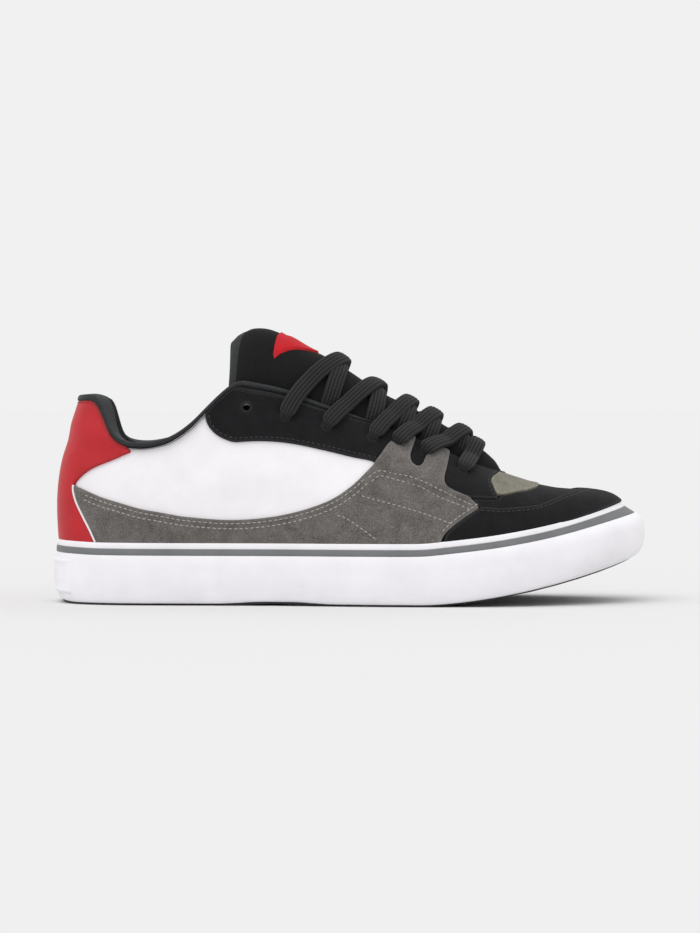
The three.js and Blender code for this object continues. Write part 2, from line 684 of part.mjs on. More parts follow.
const saddleOutline = [
  ...SADDLE_TOP.map(sidePoint),
  ...SADDLE_NOTCH.map(sidePoint),
  ...SADDLE_FRONT.map(sidePoint),
  sidePoint([0.3, -0.25]),
  ...COUNTER_FRONT.slice().reverse().map(sidePoint),
];
const counterOutline = [
  ...COUNTER_TOP.map(sidePoint),
  ...COUNTER_FRONT.map(sidePoint),
  sidePoint([-0.06, -0.1]),
  sidePoint([-0.06, 1.3]),
  sidePoint([0.148, 1.3]),
];
const eyestayOutline = [
  ...EYESTAY_FOOT.map(sidePoint),
  ...EYESTAY_FRONT.map(sidePoint),
  sidePoint([0.7, 3]),
  sidePoint([0.25, 1.6]),
];
const patchOutline = [
  ...PATCH_EDGE.map(sidePoint),
  sidePoint([0.836, 4]),
  sidePoint([0.72, 4]),
  ...EYESTAY_FRONT.slice(1).reverse().map(sidePoint),
];
const toeOutline = [
  ...TOE_EDGE.map(sidePoint),
  sidePoint([0.918, 4]),
  sidePoint([1.06, 4]),
  sidePoint([1.06, -2]),
  sidePoint([0.66, -0.6]),
];
const vampOutline = [
  sidePoint([0.655, -0.1]),
  sidePoint([0.655, 0.2]),
  sidePoint([0.7, 4]),
  sidePoint([0.93, 4]),
  sidePoint([0.93, -1]),
];

const SEAM = 0.45;
const underFoxing = belowFoxing(SEAM);
const openings = [underFoxing, collarCutter, throat, holesSolid];

function layer(low, high) {
  return form(high).subtract(form(low, SOLE_HEIGHT));
}

function cutTo(piece, outline, side, neighbours = []) {
  let cut = piece.intersect(sideCutter(outline, side));
  for (const opening of openings) cut = cut.subtract(opening);
  for (const other of neighbours) cut = cut.subtract(sideCutter(grown(other, SEAM), side));
  return cut;
}

function overlay(outline, side, neighbours = []) {
  return cutTo(layer(GAP, GAP + OVERLAY), outline, side, neighbours);
}

// The saddle lies on the upper, and steps up where its tabs pass over the eyestay
const TAB_LIFT = OVERLAY + GAP;
function makeSaddle(side) {
  const under = sideCutter(grown(eyestayOutline, SEAM), side);
  const step = sideCutter(grown(eyestayOutline, SEAM + 2 * OVERLAY), side);
  const raised = layer(GAP, GAP + OVERLAY + TAB_LIFT).intersect(step);
  const room = layer(0, GAP + TAB_LIFT).intersect(under);
  return cutTo(layer(GAP, GAP + OVERLAY).add(raised).subtract(room), saddleOutline, side);
}

// Collar: a padded roll on the upper's edge, with its lining down the inside

const ROLL_SECTION = [
  { up: 0, in: -0.16 }, { up: 0.55, in: -0.16 }, { up: 0.86, in: 0.05 }, { up: 1, in: 0.35 },
  { up: 0.97, in: 0.72 }, { up: 0.6, in: 1 },
];
const LINING_SECTION = [
  { down: 0.15, in: 1.05 }, { down: 0.5, in: 0.9 }, { down: 0.85, in: 0.5 }, { down: 1, in: 0.25 },
];
const COLLAR_END = 5.25;
const COLLAR_STEP = 0.375;
const COLLAR_SLIM = { from: 3.4, over: 1.3, tip: 0.35 };
const COLLAR_LOW = { from: 1.2, over: 2 };

function collarRing(around) {
  const loop = (around + AROUND) % AROUND;
  const turn = turnAt(loop, collarHeight);
  const up = barePoint(loop, turn + 0.01).distanceTo(barePoint(loop, turn - 0.01)) / 0.02;
  const slim = smooth((Math.abs(around) - COLLAR_SLIM.from) / COLLAR_SLIM.over);
  const end = smooth((COLLAR_END - Math.abs(around)) / COLLAR_SLIM.tip);
  const pad = mix(COLLAR_PAD, COLLAR_BAND_PAD, slim);
  const deep = mix(COLLAR_DEPTH, COLLAR_BAND_DEPTH, slim);
  const low = smooth((Math.abs(around) - COLLAR_LOW.from) / COLLAR_LOW.over);
  const roll = mix(COLLAR_ROLL, COLLAR_BAND, low) * mix(0.5, 1, end);
  const at = (rise, inset) => formPoint(loop, turn + rise / up, -inset);
  const outside = -OVERLAY;
  const inside = WALL + GAP + pad;
  return [
    ...ROLL_SECTION.map((row) => at(GAP + row.up * roll, mix(outside, inside, Math.max(0, row.in)))),
    ...LINING_SECTION.map((row) => at(-row.down * deep, WALL + GAP + row.in * pad)),
    at(-deep, WALL / 2),
    at(0, outside),
  ];
}

function makeCollar() {
  const rings = [];
  for (let around = -COLLAR_END; around <= COLLAR_END + 1e-6; around += COLLAR_STEP) {
    rings.push(collarRing(around));
  }
  const wall = form(2 * WALL).subtract(form(-WALL - GAP, SOLE_HEIGHT)).subtract(aboveCollar(GAP));
  return ringsBody(rings).subtract(wall).subtract(throatKeeper);
}

// Tongue

const SEAT = WALL + GAP;
const TONGUE_RISE = 0.06;
const TONGUE_ROUND = { across: 2.2, lift: 0.8 };
const tongueHalf = (at) => Math.max(0, throatWidth(at, TONGUE_CLEAR));

// How far the tongue's face stands off the form: under the facings, and swelling in the throat
function tongueOff(point) {
  const at = atOf(point.x);
  const seat = SEAT + TONGUE_SINK * smooth((COLLAR_FRONT_AT + TONGUE_RISE - at) / TONGUE_RISE);
  const half = tongueHalf(at);
  const across = half > 0 ? Math.abs(point.y - throatMiddle(at)) / half : 1;
  if (across >= 1) return -seat;
  const crest = level(at, crestUp(at));
  const slope = (crownHeight(point.x + 1) - crownHeight(point.x - 1)) / 2;
  const lift = (crest - crownHeight(point.x)) / Math.hypot(1, slope);
  return mix(-seat, lift, (1 - across ** TONGUE_ROUND.across) ** TONGUE_ROUND.lift);
}

const TONGUE_ROWS = { back: 4.87, front: 10.45, count: 13 };
const TONGUE_COLUMNS = 6;
const WING_TURN = 0.42;

// Turn at which the form lies a distance off the throat's middle
function turnOff(around, half) {
  let [low, high] = [0.05, 1];
  for (let i = 0; i < 30; i++) {
    const turn = (low + high) / 2;
    const p = barePoint(around, turn);
    if (Math.abs(p.y - throatMiddle(atOf(p.x))) > half) low = turn;
    else high = turn;
  }
  return (low + high) / 2;
}

function tongueRow(row, offOf) {
  const at = atOf(barePoint(row, 1).x);
  const wide = Math.max(throatWidth(at), EYELET_HOLE) + TONGUE_WING;
  const points = [];
  for (let i = -TONGUE_COLUMNS; i <= TONGUE_COLUMNS; i++) {
    const around = i < 0 ? row : AROUND - row;
    const edge = Math.max(WING_TURN, turnOff(around, wide));
    const turn = mix(1, edge, Math.abs(i) / TONGUE_COLUMNS);
    points.push(formPoint(around, turn, offOf(barePoint(around, turn), Math.abs(i) / TONGUE_COLUMNS)));
  }
  return points;
}

function tongueThickness(point, edge) {
  return tongueFill(atOf(point.x)) * TONGUE_PAD * (1 - 0.5 * edge ** 2);
}

// The tongue with its face raised by a distance, and its lining where it is
function tongueBody(raise = 0) {
  const { back, front, count } = TONGUE_ROWS;
  const [outer, inner] = [[], []];
  for (let i = 0; i <= count; i++) {
    const row = mix(back, front, i / count);
    outer.push(tongueRow(row, (p) => tongueOff(p) + raise));
    inner.push(tongueRow(row, (p, edge) => tongueOff(p) - tongueThickness(p, edge)));
  }
  return sheetBody(outer, inner);
}

function makeTongue() {
  const allowed = form(-SEAT, SOLE_HEIGHT).add(throatCutter(GAP)).add(aboveCollar(COLLAR_ROLL));
  return tongueBody().intersect(allowed);
}

// The bare patch sewn across the tongue's crest, pointing to the toe
function makeTonguePatch() {
  const [back, front] = [xOf(PATCH_BACK_AT), xOf(PATCH_BACK_AT) + PATCH_LENGTH];
  const [wide, tip] = [PATCH_WIDTH / 2, PATCH_TIP / 2];
  const shape = new THREE.Shape([[back, -wide], [front, -tip], [front, tip], [back, wide]]
    .map(([x, y]) => new THREE.Vector2(x, y)));
  const cutter = new THREE.ExtrudeGeometry(shape, { depth: HIGH, bevelEnabled: false });
  cutter.translate(0, 0, level(PATCH_BACK_AT, 1));
  return tongueBody(GAP + PATCH_THICK).subtract(tongueBody(GAP)).intersect(solidOf(cutter));
}

// Laces: flat strands from each eyelet to the next one on the other side, and a bar at the front

const LACE_STEPS = 8;
const LACE_SECTION = 6;
const LACE_SWING = 0.22;
const TABS = { back: 0.545, front: 0.69, fade: 0.02 };

function lacePoint(from, to, t) {
  const rowOf = (place) => Math.min(place.around, AROUND - place.around);
  const row = mix(rowOf(from), rowOf(to), t) + LACE_SWING * Math.sin(Math.PI * t);
  const side = t < 0.5 ? from : to;
  const around = side.around > TOE ? AROUND - row : row;
  const turn = mix(1, side.turn, Math.abs(2 * t - 1));
  const bare = barePoint(around, turn);
  const at = atOf(bare.x);
  const onTab = smooth((at - TABS.back) / TABS.fade) * smooth((TABS.front - at) / TABS.fade);
  const rest = OVERLAY + 3 * GAP + TAB_LIFT * onTab;
  const across = Math.abs(bare.y - throatMiddle(at)) / tongueHalf(at);
  const over = tongueOff(bare) + 3 * GAP + LACE_SLACK * smooth((across - 0.5) / 0.3);
  const off = Math.max(rest, over) + LACE_THICK / 2;
  return { point: formPoint(around, turn, off), normal: formNormal(around, turn) };
}

function strand(from, to) {
  const path = Array.from({ length: LACE_STEPS + 1 }, (_, i) => lacePoint(from, to, i / LACE_STEPS));
  const rings = path.map(({ point, normal }, i) => {
    const before = path[Math.max(0, i - 1)].point;
    const after = path[Math.min(LACE_STEPS, i + 1)].point;
    const along = after.clone().sub(before).normalize();
    const across = along.clone().cross(normal).normalize();
    const up = across.clone().cross(along).normalize();
    return Array.from({ length: LACE_SECTION }, (_, j) => {
      const angle = (j + 0.5) / LACE_SECTION * 2 * Math.PI;
      return point.clone()
        .addScaledVector(across, Math.cos(angle) * LACE_WIDTH / 2)
        .addScaledVector(up, Math.sin(angle) * LACE_THICK / 2);
    });
  });
  return ringsBody(rings);
}

const FIRST_LACED = 1;
function makeLaces() {
  const place = (index, side) => placeOf(EYELETS[index], side);
  const last = EYELETS.length - 1;
  let laces = strand(place(last, -1), place(last, 1));
  for (let i = FIRST_LACED; i < last; i++) {
    laces = laces.add(strand(place(i, -1), place(i + 1, 1)));
    laces = laces.add(strand(place(i + 1, -1), place(i, 1)));
  }
  return laces;
}

// Assembly

const shoe = new THREE.Group();

function add(name, solid, color, roughness) {
  const { vertProperties, triVerts } = solid.getMesh();
  const geometry = new THREE.BufferGeometry();
  geometry.setAttribute('position', new THREE.BufferAttribute(vertProperties, 3));
  geometry.setIndex(new THREE.BufferAttribute(triVerts, 1));
  const mesh = new THREE.Mesh(geometry, new THREE.MeshStandardMaterial({ color, roughness, metalness: 0 }));
  mesh.name = name;
  shoe.add(mesh);
}

const WHITE_RUBBER = 0xf1eff3;
const BLACK_SUEDE = 0x1e1d1f;
const GREY_SUEDE = 0x706c6a;
const RED_LEATHER = 0xbc2a32;
const BLACK_CLOTH = 0x262626;

add('outsole', makeOutsole(), 0x2b2b2c, 0.8);
add('foxing', makeFoxing(), WHITE_RUBBER, 0.55);
add('foxing_stripe', makeStripe(), 0x6c6e70, 0.6);
add('heel_plate', makeHeelPlate(), WHITE_RUBBER, 0.55);
add('insole', makeInsole(), 0x3a3a3b, 0.9);
add('upper', makeUpper(), 0xf3f1f4, 0.5);
add('counter', overlay(counterOutline, 0, [saddleOutline]), RED_LEATHER, 0.55);
for (const [name, side] of [['outer', -1], ['inner', 1]]) {
  add(`saddle_${name}`, makeSaddle(side), GREY_SUEDE, 0.9);
  add(`eyestay_${name}`, overlay(eyestayOutline, side), BLACK_SUEDE, 0.9);
}
const vampNeighbours = [saddleOutline, eyestayOutline, patchOutline, toeOutline];
add('vamp', overlay(vampOutline, 0, vampNeighbours), BLACK_SUEDE, 0.9);
add('vamp_patch', overlay(patchOutline, 0, [eyestayOutline]), GREY_SUEDE, 0.9);
add('toe_guard', overlay(toeOutline, 0, [saddleOutline]), BLACK_SUEDE, 0.9);
add('collar', makeCollar(), 0x323434, 0.9);
add('tongue', makeTongue(), BLACK_SUEDE, 0.9);
add('tongue_patch', makeTonguePatch(), RED_LEATHER, 0.55);
add('laces', makeLaces(), BLACK_CLOTH, 0.85);

export default shoe;
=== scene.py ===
"""The looks of a low skate shoe for the right foot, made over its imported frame."""
import math

import bpy
import numpy as np
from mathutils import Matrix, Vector
from mathutils.bvhtree import BVHTree


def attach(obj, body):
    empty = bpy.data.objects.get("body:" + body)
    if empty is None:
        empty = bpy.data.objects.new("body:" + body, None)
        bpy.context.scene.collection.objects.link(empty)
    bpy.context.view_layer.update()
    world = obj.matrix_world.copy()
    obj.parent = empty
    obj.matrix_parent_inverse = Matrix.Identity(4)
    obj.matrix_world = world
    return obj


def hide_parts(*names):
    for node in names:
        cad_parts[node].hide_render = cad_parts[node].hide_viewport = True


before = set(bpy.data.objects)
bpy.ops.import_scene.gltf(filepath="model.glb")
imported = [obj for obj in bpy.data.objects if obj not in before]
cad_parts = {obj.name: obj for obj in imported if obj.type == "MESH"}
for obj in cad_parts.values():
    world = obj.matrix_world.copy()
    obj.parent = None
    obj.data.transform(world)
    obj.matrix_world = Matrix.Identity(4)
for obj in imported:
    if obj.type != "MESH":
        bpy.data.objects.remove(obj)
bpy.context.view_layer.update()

# Driving sizes of the shoe, in millimetres, as in the part's source, but for the collar's roll and the
# lace's width, which are 4.6 and 8.4 there
LENGTH = 300
BALL_WIDTH = 109
HEEL_WIDTH = 80
SOLE_HEIGHT = 32.5
HEEL_HEIGHT = 72
INSTEP_HEIGHT = 82
TOE_HEIGHT = 14
TOE_SPRING = 24
WALL = 2
OVERLAY = 1.2
GAP = 0.3
HEEL_STACK = 17
BALL_STACK = 9.5
ARCH_RISE = 1
HEEL_BEVEL = 2
TREAD_PROUD = 1
FOXING_WALL = 4.4
FOXING_LIP = 2.2
STRIPE_DROP = 3
STRIPE_HEIGHT = 3.2
HEEL_PLATE_HEIGHT = 17
HEEL_PLATE_WIDTH = 44
INSOLE_THICK = 4.5
COLLAR_PAD = 9
COLLAR_ROLL = 3.6
HEEL_AT = 0.12
BACK_CURVE = 3.0
BACK_CURVE_TOP = 0.58
COLLAR_DEPTH = 32
TONGUE_PAD = 13
TONGUE_WING = 8
EYELET_HOLE = 4.4
LACE_WIDTH = 8.6
LACE_THICK = 3.8
BALL_AT = 0.62
COLLAR_FRONT_AT = 0.345
THROAT_FRONT_AT = 0.757
THROAT_ROUND_AT = 0.7
PATCH_BACK_AT = 0.381

# Further places along the length, and shapes of its curves
SPRING_CURVE = 1.6
WIDEN_AT, WIDEN_OVER = 0.3, 0.3
ARCH_FROM_AT, ARCH_TO_AT, ARCH_EASE = 0.28, 0.48, 0.08
HEEL_BEVEL_AT = 0.05
INSTEP_AT = 0.42
LIP_FROM = 0.62
BISECTIONS, FIT_STEPS = 30, 60

# Place along the sole, outer and inner half width, lean, drift and squareness of each section
SECTIONS = [
    (0.0152, 0, 0, 0.165, 0, 1.9), (0.0252, 0.213, 0.213, 0.158, 0, 1.9),
    (0.059, 0.35, 0.344, 0.132, 0, 1.92), (0.12, 0.431, 0.419, 0.084, 0, 1.97),
    (0.207, 0.456, 0.431, 0.045, 0, 2.02), (0.3, 0.469, 0.42, 0.033, 0, 2.05),
    (0.393, 0.46, 0.395, 0.027, 0.002, 2.1), (0.487, 0.452, 0.38, 0.02, 0.009, 2.15),
    (0.58, 0.454, 0.4, 0.01, 0.018, 2.2), (0.667, 0.46, 0.444, 0, 0.028, 2.3),
    (0.753, 0.441, 0.455, -0.017, 0.037, 2.45), (0.84, 0.364, 0.417, -0.047, 0.046, 2.7),
    (0.913, 0.236, 0.33, -0.083, 0.055, 3), (0.96, 0.073, 0.22, -0.113, 0.06, 3.2),
    (0.976, -0.082, 0.082, -0.123, 0.064, 3.3),
]
CROWN = [
    (0, 1.86), (0.133, 1.84), (0.2, 1.743), (0.25, 1.6), (0.3, 1.461), (0.333, 1.356),
    (0.367, 1.26), (0.4, 1.162), (0.433, 1.055), (0.467, 0.985), (0.517, 0.945), (0.583, 0.975),
    (0.65, 1.048), (0.7, 1.105), (0.75, 1.187), (0.773, 1.211), (0.803, 1.2), (0.83, 1.089),
    (0.857, 0.875), (0.89, 0.636), (0.933, 0.348), (1, -0.1),
]
CREST = [
    (0.3, 1.28), (0.318, 1.317), (0.335, 1.33), (0.35, 1.32), (0.377, 1.28), (0.417, 1.207),
    (0.445, 1.165), (0.487, 1.11), (0.537, 1.085), (0.587, 1.15), (0.637, 1.265), (0.697, 1.4),
    (0.737, 1.4), (0.757, 1.25), (0.8, 1),
]
THROAT = [(0.28, 0.235), (0.4, 0.235), (0.5, 0.229), (0.58, 0.211), (0.65, 0.183), (0.7, 0.155), (0.8, 0.13)]
TONGUE_FILL = [(0.28, 0.5), (0.32, 0.85), (0.36, 1), (0.5, 0.95), (0.62, 0.7), (0.72, 0.45), (0.8, 0.16)]
COLLAR_EDGE = [
    (-0.05, 0.945), (0.045, 0.95), (0.072, 0.953), (0.083, 0.91), (0.094, 0.81), (0.105, 0.71),
    (0.122, 0.653), (0.15, 0.634), (0.177, 0.646), (0.202, 0.677), (0.235, 0.763), (0.268, 0.881),
    (0.3, 0.972), (0.318, 0.985), (0.345, 0.96), (0.38, 0.9),
]
FOXING_EDGE = [
    (0, 0.5), (0.03, 0.8), (0.09, 1.4), (0.6, 1.4), (0.67, 0.7), (0.75, 1), (0.84, 1.4),
    (0.93, 0.9), (0.96, 1), (1, 2.6),
]
FOXING_BULGE = {
    "heel": [(0, 0.3), (0.12, 0.55), (0.35, 0.78), (0.62, 0.74)],
    "side": [(0, 0.62), (0.12, 0.82), (0.35, 1), (0.62, 0.93)],
    "toe": [(0, 0.5), (0.12, 1.2), (0.35, 1.62), (0.62, 1.5)],
}

# Seams seen from the side: place along the length and share of the rise
COUNTER_TOP = [(0.148, 0.75), (0.148, 0.634), (0.123, 0.579), (0.095, 0.53), (0.079, 0.503), (0.062, 0.462),
               (0.047, 0.406), (0.042, 0.372)]
COUNTER_FRONT = [(0.042, 0.372), (0.042, 0.331), (0.047, 0.255), (0.059, 0.151), (0.07, 0.062), (0.083, -0.1)]
SADDLE_TOP = [
    (0.046, 0.365), (0.064, 0.331), (0.089, 0.29), (0.122, 0.249), (0.155, 0.211), (0.188, 0.187),
    (0.221, 0.162), (0.253, 0.146), (0.286, 0.133), (0.319, 0.129), (0.352, 0.135), (0.385, 0.15),
    (0.418, 0.176), (0.451, 0.218), (0.476, 0.268), (0.5, 0.344), (0.52, 0.433), (0.542, 0.558),
    (0.558, 0.685), (0.57, 0.789), (0.578, 0.95),
]
SADDLE_NOTCH = [
    (0.61, 0.96), (0.601, 0.78), (0.598, 0.708), (0.601, 0.665), (0.61, 0.655), (0.618, 0.7),
    (0.625, 0.814), (0.634, 1.02),
]
SADDLE_BROW = [(0.667, 1.15), (0.66, 0.862), (0.654, 0.664), (0.657, 0.594), (0.667, 0.566), (0.685, 0.553),
               (0.698, 0.543), (0.714, 0.441)]
SADDLE_FRONT = [(0.714, 0.441), (0.703, 0.356), (0.687, 0.255), (0.669, 0.145), (0.655, 0.051), (0.643, -0.1)]
EYESTAY_FOOT = [
    (0.262, 0.95), (0.26, 0.834), (0.263, 0.778), (0.271, 0.727), (0.282, 0.684), (0.296, 0.65),
    (0.309, 0.629), (0.327, 0.623), (0.355, 0.612), (0.385, 0.595), (0.418, 0.572), (0.467, 0.548),
    (0.509, 0.547), (0.543, 0.558), (0.6, 0.52), (0.65, 0.5), (0.7, 0.56), (0.741, 0.66), (0.747, 0.7),
]
EYESTAY_FRONT = [(0.747, 0.7), (0.741, 0.746), (0.736, 0.865), (0.733, 0.978), (0.745, 1.14), (0.77, 1.4)]
PATCH_EDGE = [
    (0.741, 0.73), (0.758, 0.78), (0.775, 0.87), (0.792, 0.973), (0.808, 1.08), (0.819, 1.16),
    (0.836, 1.5),
]
TOE_EDGE = [
    (0.655, 0.03), (0.669, 0.145), (0.687, 0.255), (0.703, 0.356), (0.714, 0.441), (0.748, 0.47),
    (0.781, 0.5), (0.814, 0.56), (0.847, 0.65), (0.88, 0.66), (0.905, 0.62), (0.918, 0.9),
]
EYELETS = [
    (0.328, 0.837), (0.393, 0.749), (0.461, 0.698), (0.537, 0.718), (0.578, 0.77), (0.623, 0.83),
    (0.685, 0.87),
]


def smooth(t):
    t = np.clip(t, 0, 1)
    return t * t * (3 - 2 * t)


def mix(a, b, t):
    return a + (b - a) * t


def spline(a, b, c, d, t):
    """A point between b and c, on a smooth curve from a to d."""
    return 0.5 * (2 * b + (c - a) * t + (2 * a - 5 * b + 4 * c - d) * t * t
                  + (3 * b - a - 3 * c + d) * t ** 3)


def distances(line):
    """How far along a line each of its points lies."""
    return np.concatenate([[0], np.cumsum(np.linalg.norm(np.diff(line, axis=0), axis=1))])


def resampled(line, gaps, marks):
    return np.stack([np.interp(marks, gaps, line[:, k]) for k in range(line.shape[1])], -1)


def soften(values, times):
    for _ in range(times):
        values[1:-1] = (values[:-2] + 2 * values[1:-1] + values[2:]) / 4


def flipped(faces):
    return [face[::-1] for face in faces]


def curve(rows):
    """A smooth curve through a table's second column, against its first."""
    xs, ys = np.array(rows, float).T
    n = len(xs)
    low, high = np.maximum(np.arange(n) - 1, 0), np.minimum(np.arange(n) + 1, n - 1)
    slope = (ys[high] - ys[low]) / (xs[high] - xs[low])

    def value(at):
        t = np.clip(at, xs[0], xs[-1])
        k = np.clip(np.searchsorted(xs, t, side="right") - 1, 0, n - 2)
        span = xs[k + 1] - xs[k]
        s = (t - xs[k]) / span
        ends = mix(ys[k], ys[k + 1], s * s * (3 - 2 * s))
        return ends + span * (slope[k] * s * (1 - s) ** 2 - slope[k + 1] * s * s * (1 - s))

    return value


crown_up = curve(CROWN)
crest_up = curve(CREST)
throat_half = curve(THROAT)
tongue_fill = curve(TONGUE_FILL)
collar_up = curve(COLLAR_EDGE)
foxing_drop = curve(FOXING_EDGE)
drift_line = curve([(row[0], row[4]) for row in SECTIONS])
bulge_lines = [curve(FOXING_BULGE[key]) for key in ("heel", "side", "toe")]


def at_of(x):
    return x / LENGTH + 0.5


def x_of(at):
    return (np.asarray(at) - 0.5) * LENGTH


def spring(at):
    return TOE_SPRING * np.maximum(0, (at - BALL_AT) / (1 - BALL_AT)) ** SPRING_CURVE


def width(at):
    return mix(HEEL_WIDTH, BALL_WIDTH, smooth((at - WIDEN_AT) / WIDEN_OVER))


def slab_top(at):
    return spring(at) + mix(HEEL_STACK, BALL_STACK, smooth((at - 0.1) / 0.7))


def tread_height(at):
    arch = ARCH_RISE * smooth((at - ARCH_FROM_AT) / ARCH_EASE) * smooth((ARCH_TO_AT - at) / ARCH_EASE)
    return spring(at) + arch + HEEL_BEVEL * np.clip((HEEL_BEVEL_AT - at) / HEEL_BEVEL_AT, 0, 1) ** 2


def foxing_top(at):
    return SOLE_HEIGHT - foxing_drop(at) + spring(at)


def level(at, up):
    """The height of a share of the rise above the sole, which itself changes along the length."""
    back = mix(HEEL_HEIGHT, INSTEP_HEIGHT, smooth((at - 0.2) / 0.22))
    front = mix(INSTEP_HEIGHT, TOE_HEIGHT, smooth((at - INSTEP_AT) / 0.43))
    return SOLE_HEIGHT + spring(at) + up * np.where(at < INSTEP_AT, back, front)


def crown_height(x):
    return level(at_of(x), crown_up(at_of(x)))


def collar_height(x):
    return level(at_of(x), collar_up(at_of(x)))


def throat_middle(at):
    return drift_line(at) * BALL_WIDTH


# The form: around runs 0 at the heel, over the outer side to 14 at the toe and back over the inner
# side, and turn runs from 0 at the sole to 1 at the crown
TOE, AROUND = 14, 28


def section_rows():
    rows = []
    for i in range(AROUND):
        at, outer, inner, lean, drift, square = SECTIONS[i if i <= TOE else AROUND - i]
        rows.append([at, (-outer if i <= TOE else inner) * float(width(at)), lean, drift, square])
    return np.array(rows)


ROWS = section_rows()


def section(around):
    i = np.floor(around).astype(int)
    t = (around - i)[..., None]
    return spline(*(ROWS[(i + k) % AROUND] for k in (-1, 0, 1, 2)), t)


def bare(around, turn):
    around, turn = np.broadcast_arrays(np.asarray(around, float), np.asarray(turn, float))
    at, side, lean, drift, square = np.moveaxis(section(around), -1, 0)
    c, s = np.maximum(0, np.cos(turn * np.pi / 2)), np.maximum(0, np.sin(turn * np.pi / 2))
    radius = (c ** square + s ** square) ** (-1 / square)
    inward, tall = 1 - radius * c, radius * s
    heel = smooth((HEEL_AT - at) / HEEL_AT)
    x = x_of(at) + lean * LENGTH * inward
    x = x - BACK_CURVE * heel * np.sin(np.pi * np.minimum(1, tall / BACK_CURVE_TOP)) ** 2
    y = mix(side, drift * BALL_WIDTH, inward)
    z = mix(slab_top(at) + GAP, crown_height(x), tall)
    return np.stack([x, y, z], -1)


def unit(v):
    return v / np.maximum(np.linalg.norm(v, axis=-1, keepdims=True), 1e-9)


def normal(around, turn):
    around, turn = np.broadcast_arrays(np.asarray(around, float), np.asarray(turn, float))
    step = 1e-3
    along = bare(around + step, turn) - bare(around - step, turn)
    up = bare(around, np.minimum(1, turn + step)) - bare(around, np.maximum(0, turn - step))
    side = unit(np.cross(along, up))
    x = bare(around, 1.0)[..., 0]
    slope = (crown_height(x + 1) - crown_height(x - 1)) / 2
    top = unit(np.stack([-slope, np.zeros_like(x), np.ones_like(x)], -1))
    return unit(mix(side, top, smooth((turn - 0.985) / 0.013)[..., None]))


def segments_distance(points, line):
    """Distance of flat points to an open line, and the direction away from it."""
    best = np.full(len(points), 1e9)
    away = np.zeros((len(points), 2))
    for a, b in zip(line[:-1], line[1:]):
        ab = b - a
        t = np.clip((points - a) @ ab / max(ab @ ab, 1e-12), 0, 1)
        gap = points - (a + t[:, None] * ab)
        d = np.hypot(gap[:, 0], gap[:, 1])
        near = d < best
        best[near] = d[near]
        away[near] = gap[near] / np.maximum(d[near], 1e-9)[:, None]
    return best, away


def inside_of(points, outline):
    inside = np.zeros(len(points), bool)
    for a, b in zip(outline, np.roll(outline, -1, 0)):
        if a[1] == b[1]:
            continue
        crosses = (a[1] > points[:, 1]) != (b[1] > points[:, 1])
        x = a[0] + (points[:, 1] - a[1]) * (b[0] - a[0]) / (b[1] - a[1])
        inside ^= crosses & (points[:, 0] < x)
    return inside


def side_line(rows, step=1.2, by=0.0):
    """A smooth line seen from the side, in millimetres, through rows of place and share of the rise."""
    at, up = np.array(rows, float).T
    points = np.stack([x_of(at), level(at, up)], -1)
    ends = np.vstack([2 * points[0] - points[1], points, 2 * points[-1] - points[-2]])
    out = []
    for i in range(len(points) - 1):
        count = max(2, int(np.linalg.norm(ends[i + 2] - ends[i + 1]) / step))
        out += [spline(*ends[i:i + 4], t) for t in np.arange(count) / count]
    out.append(points[-1])
    line = np.array(out)
    if by:
        along = np.gradient(line, axis=0)
        along /= np.linalg.norm(along, axis=1, keepdims=True)
        line = line + by * np.stack([along[:, 1], -along[:, 0]], -1)
    return line


def place_of(line, side):
    """Around and turn of the form at points seen from one side."""
    x, z = line[:, 0], line[:, 1]
    row, turn = at_of(x) * TOE, np.full(len(x), 0.5)
    for _ in range(FIT_STEPS):
        here = bare(row if side < 0 else AROUND - row, turn)
        row = np.clip(row + (x - here[:, 0]) / LENGTH * TOE * 0.7, 0.01, TOE - 0.01)
        turn = np.clip(turn + (z - here[:, 2]) / (crown_height(x) - SOLE_HEIGHT) * 0.5, 0.01, 0.985)
    return (row if side < 0 else AROUND - row), turn


def turn_at(around, height):
    """Turn at which the form passes a height line."""
    low, high = np.zeros_like(around), np.full_like(around, 0.95)
    for _ in range(BISECTIONS):
        turn = (low + high) / 2
        p = bare(around, turn)
        below = p[..., 2] < height(p[..., 0])
        low, high = np.where(below, turn, low), np.where(below, high, turn)
    return (low + high) / 2


def turn_off(around, half):
    """Turn at which the form lies a distance off the throat's middle."""
    low, high = np.full_like(around, 0.05), np.ones_like(around)
    for _ in range(BISECTIONS):
        turn = (low + high) / 2
        p = bare(around, turn)
        wide = np.abs(p[..., 1] - throat_middle(at_of(p[..., 0]))) > half
        low, high = np.where(wide, turn, low), np.where(wide, high, turn)
    return (low + high) / 2


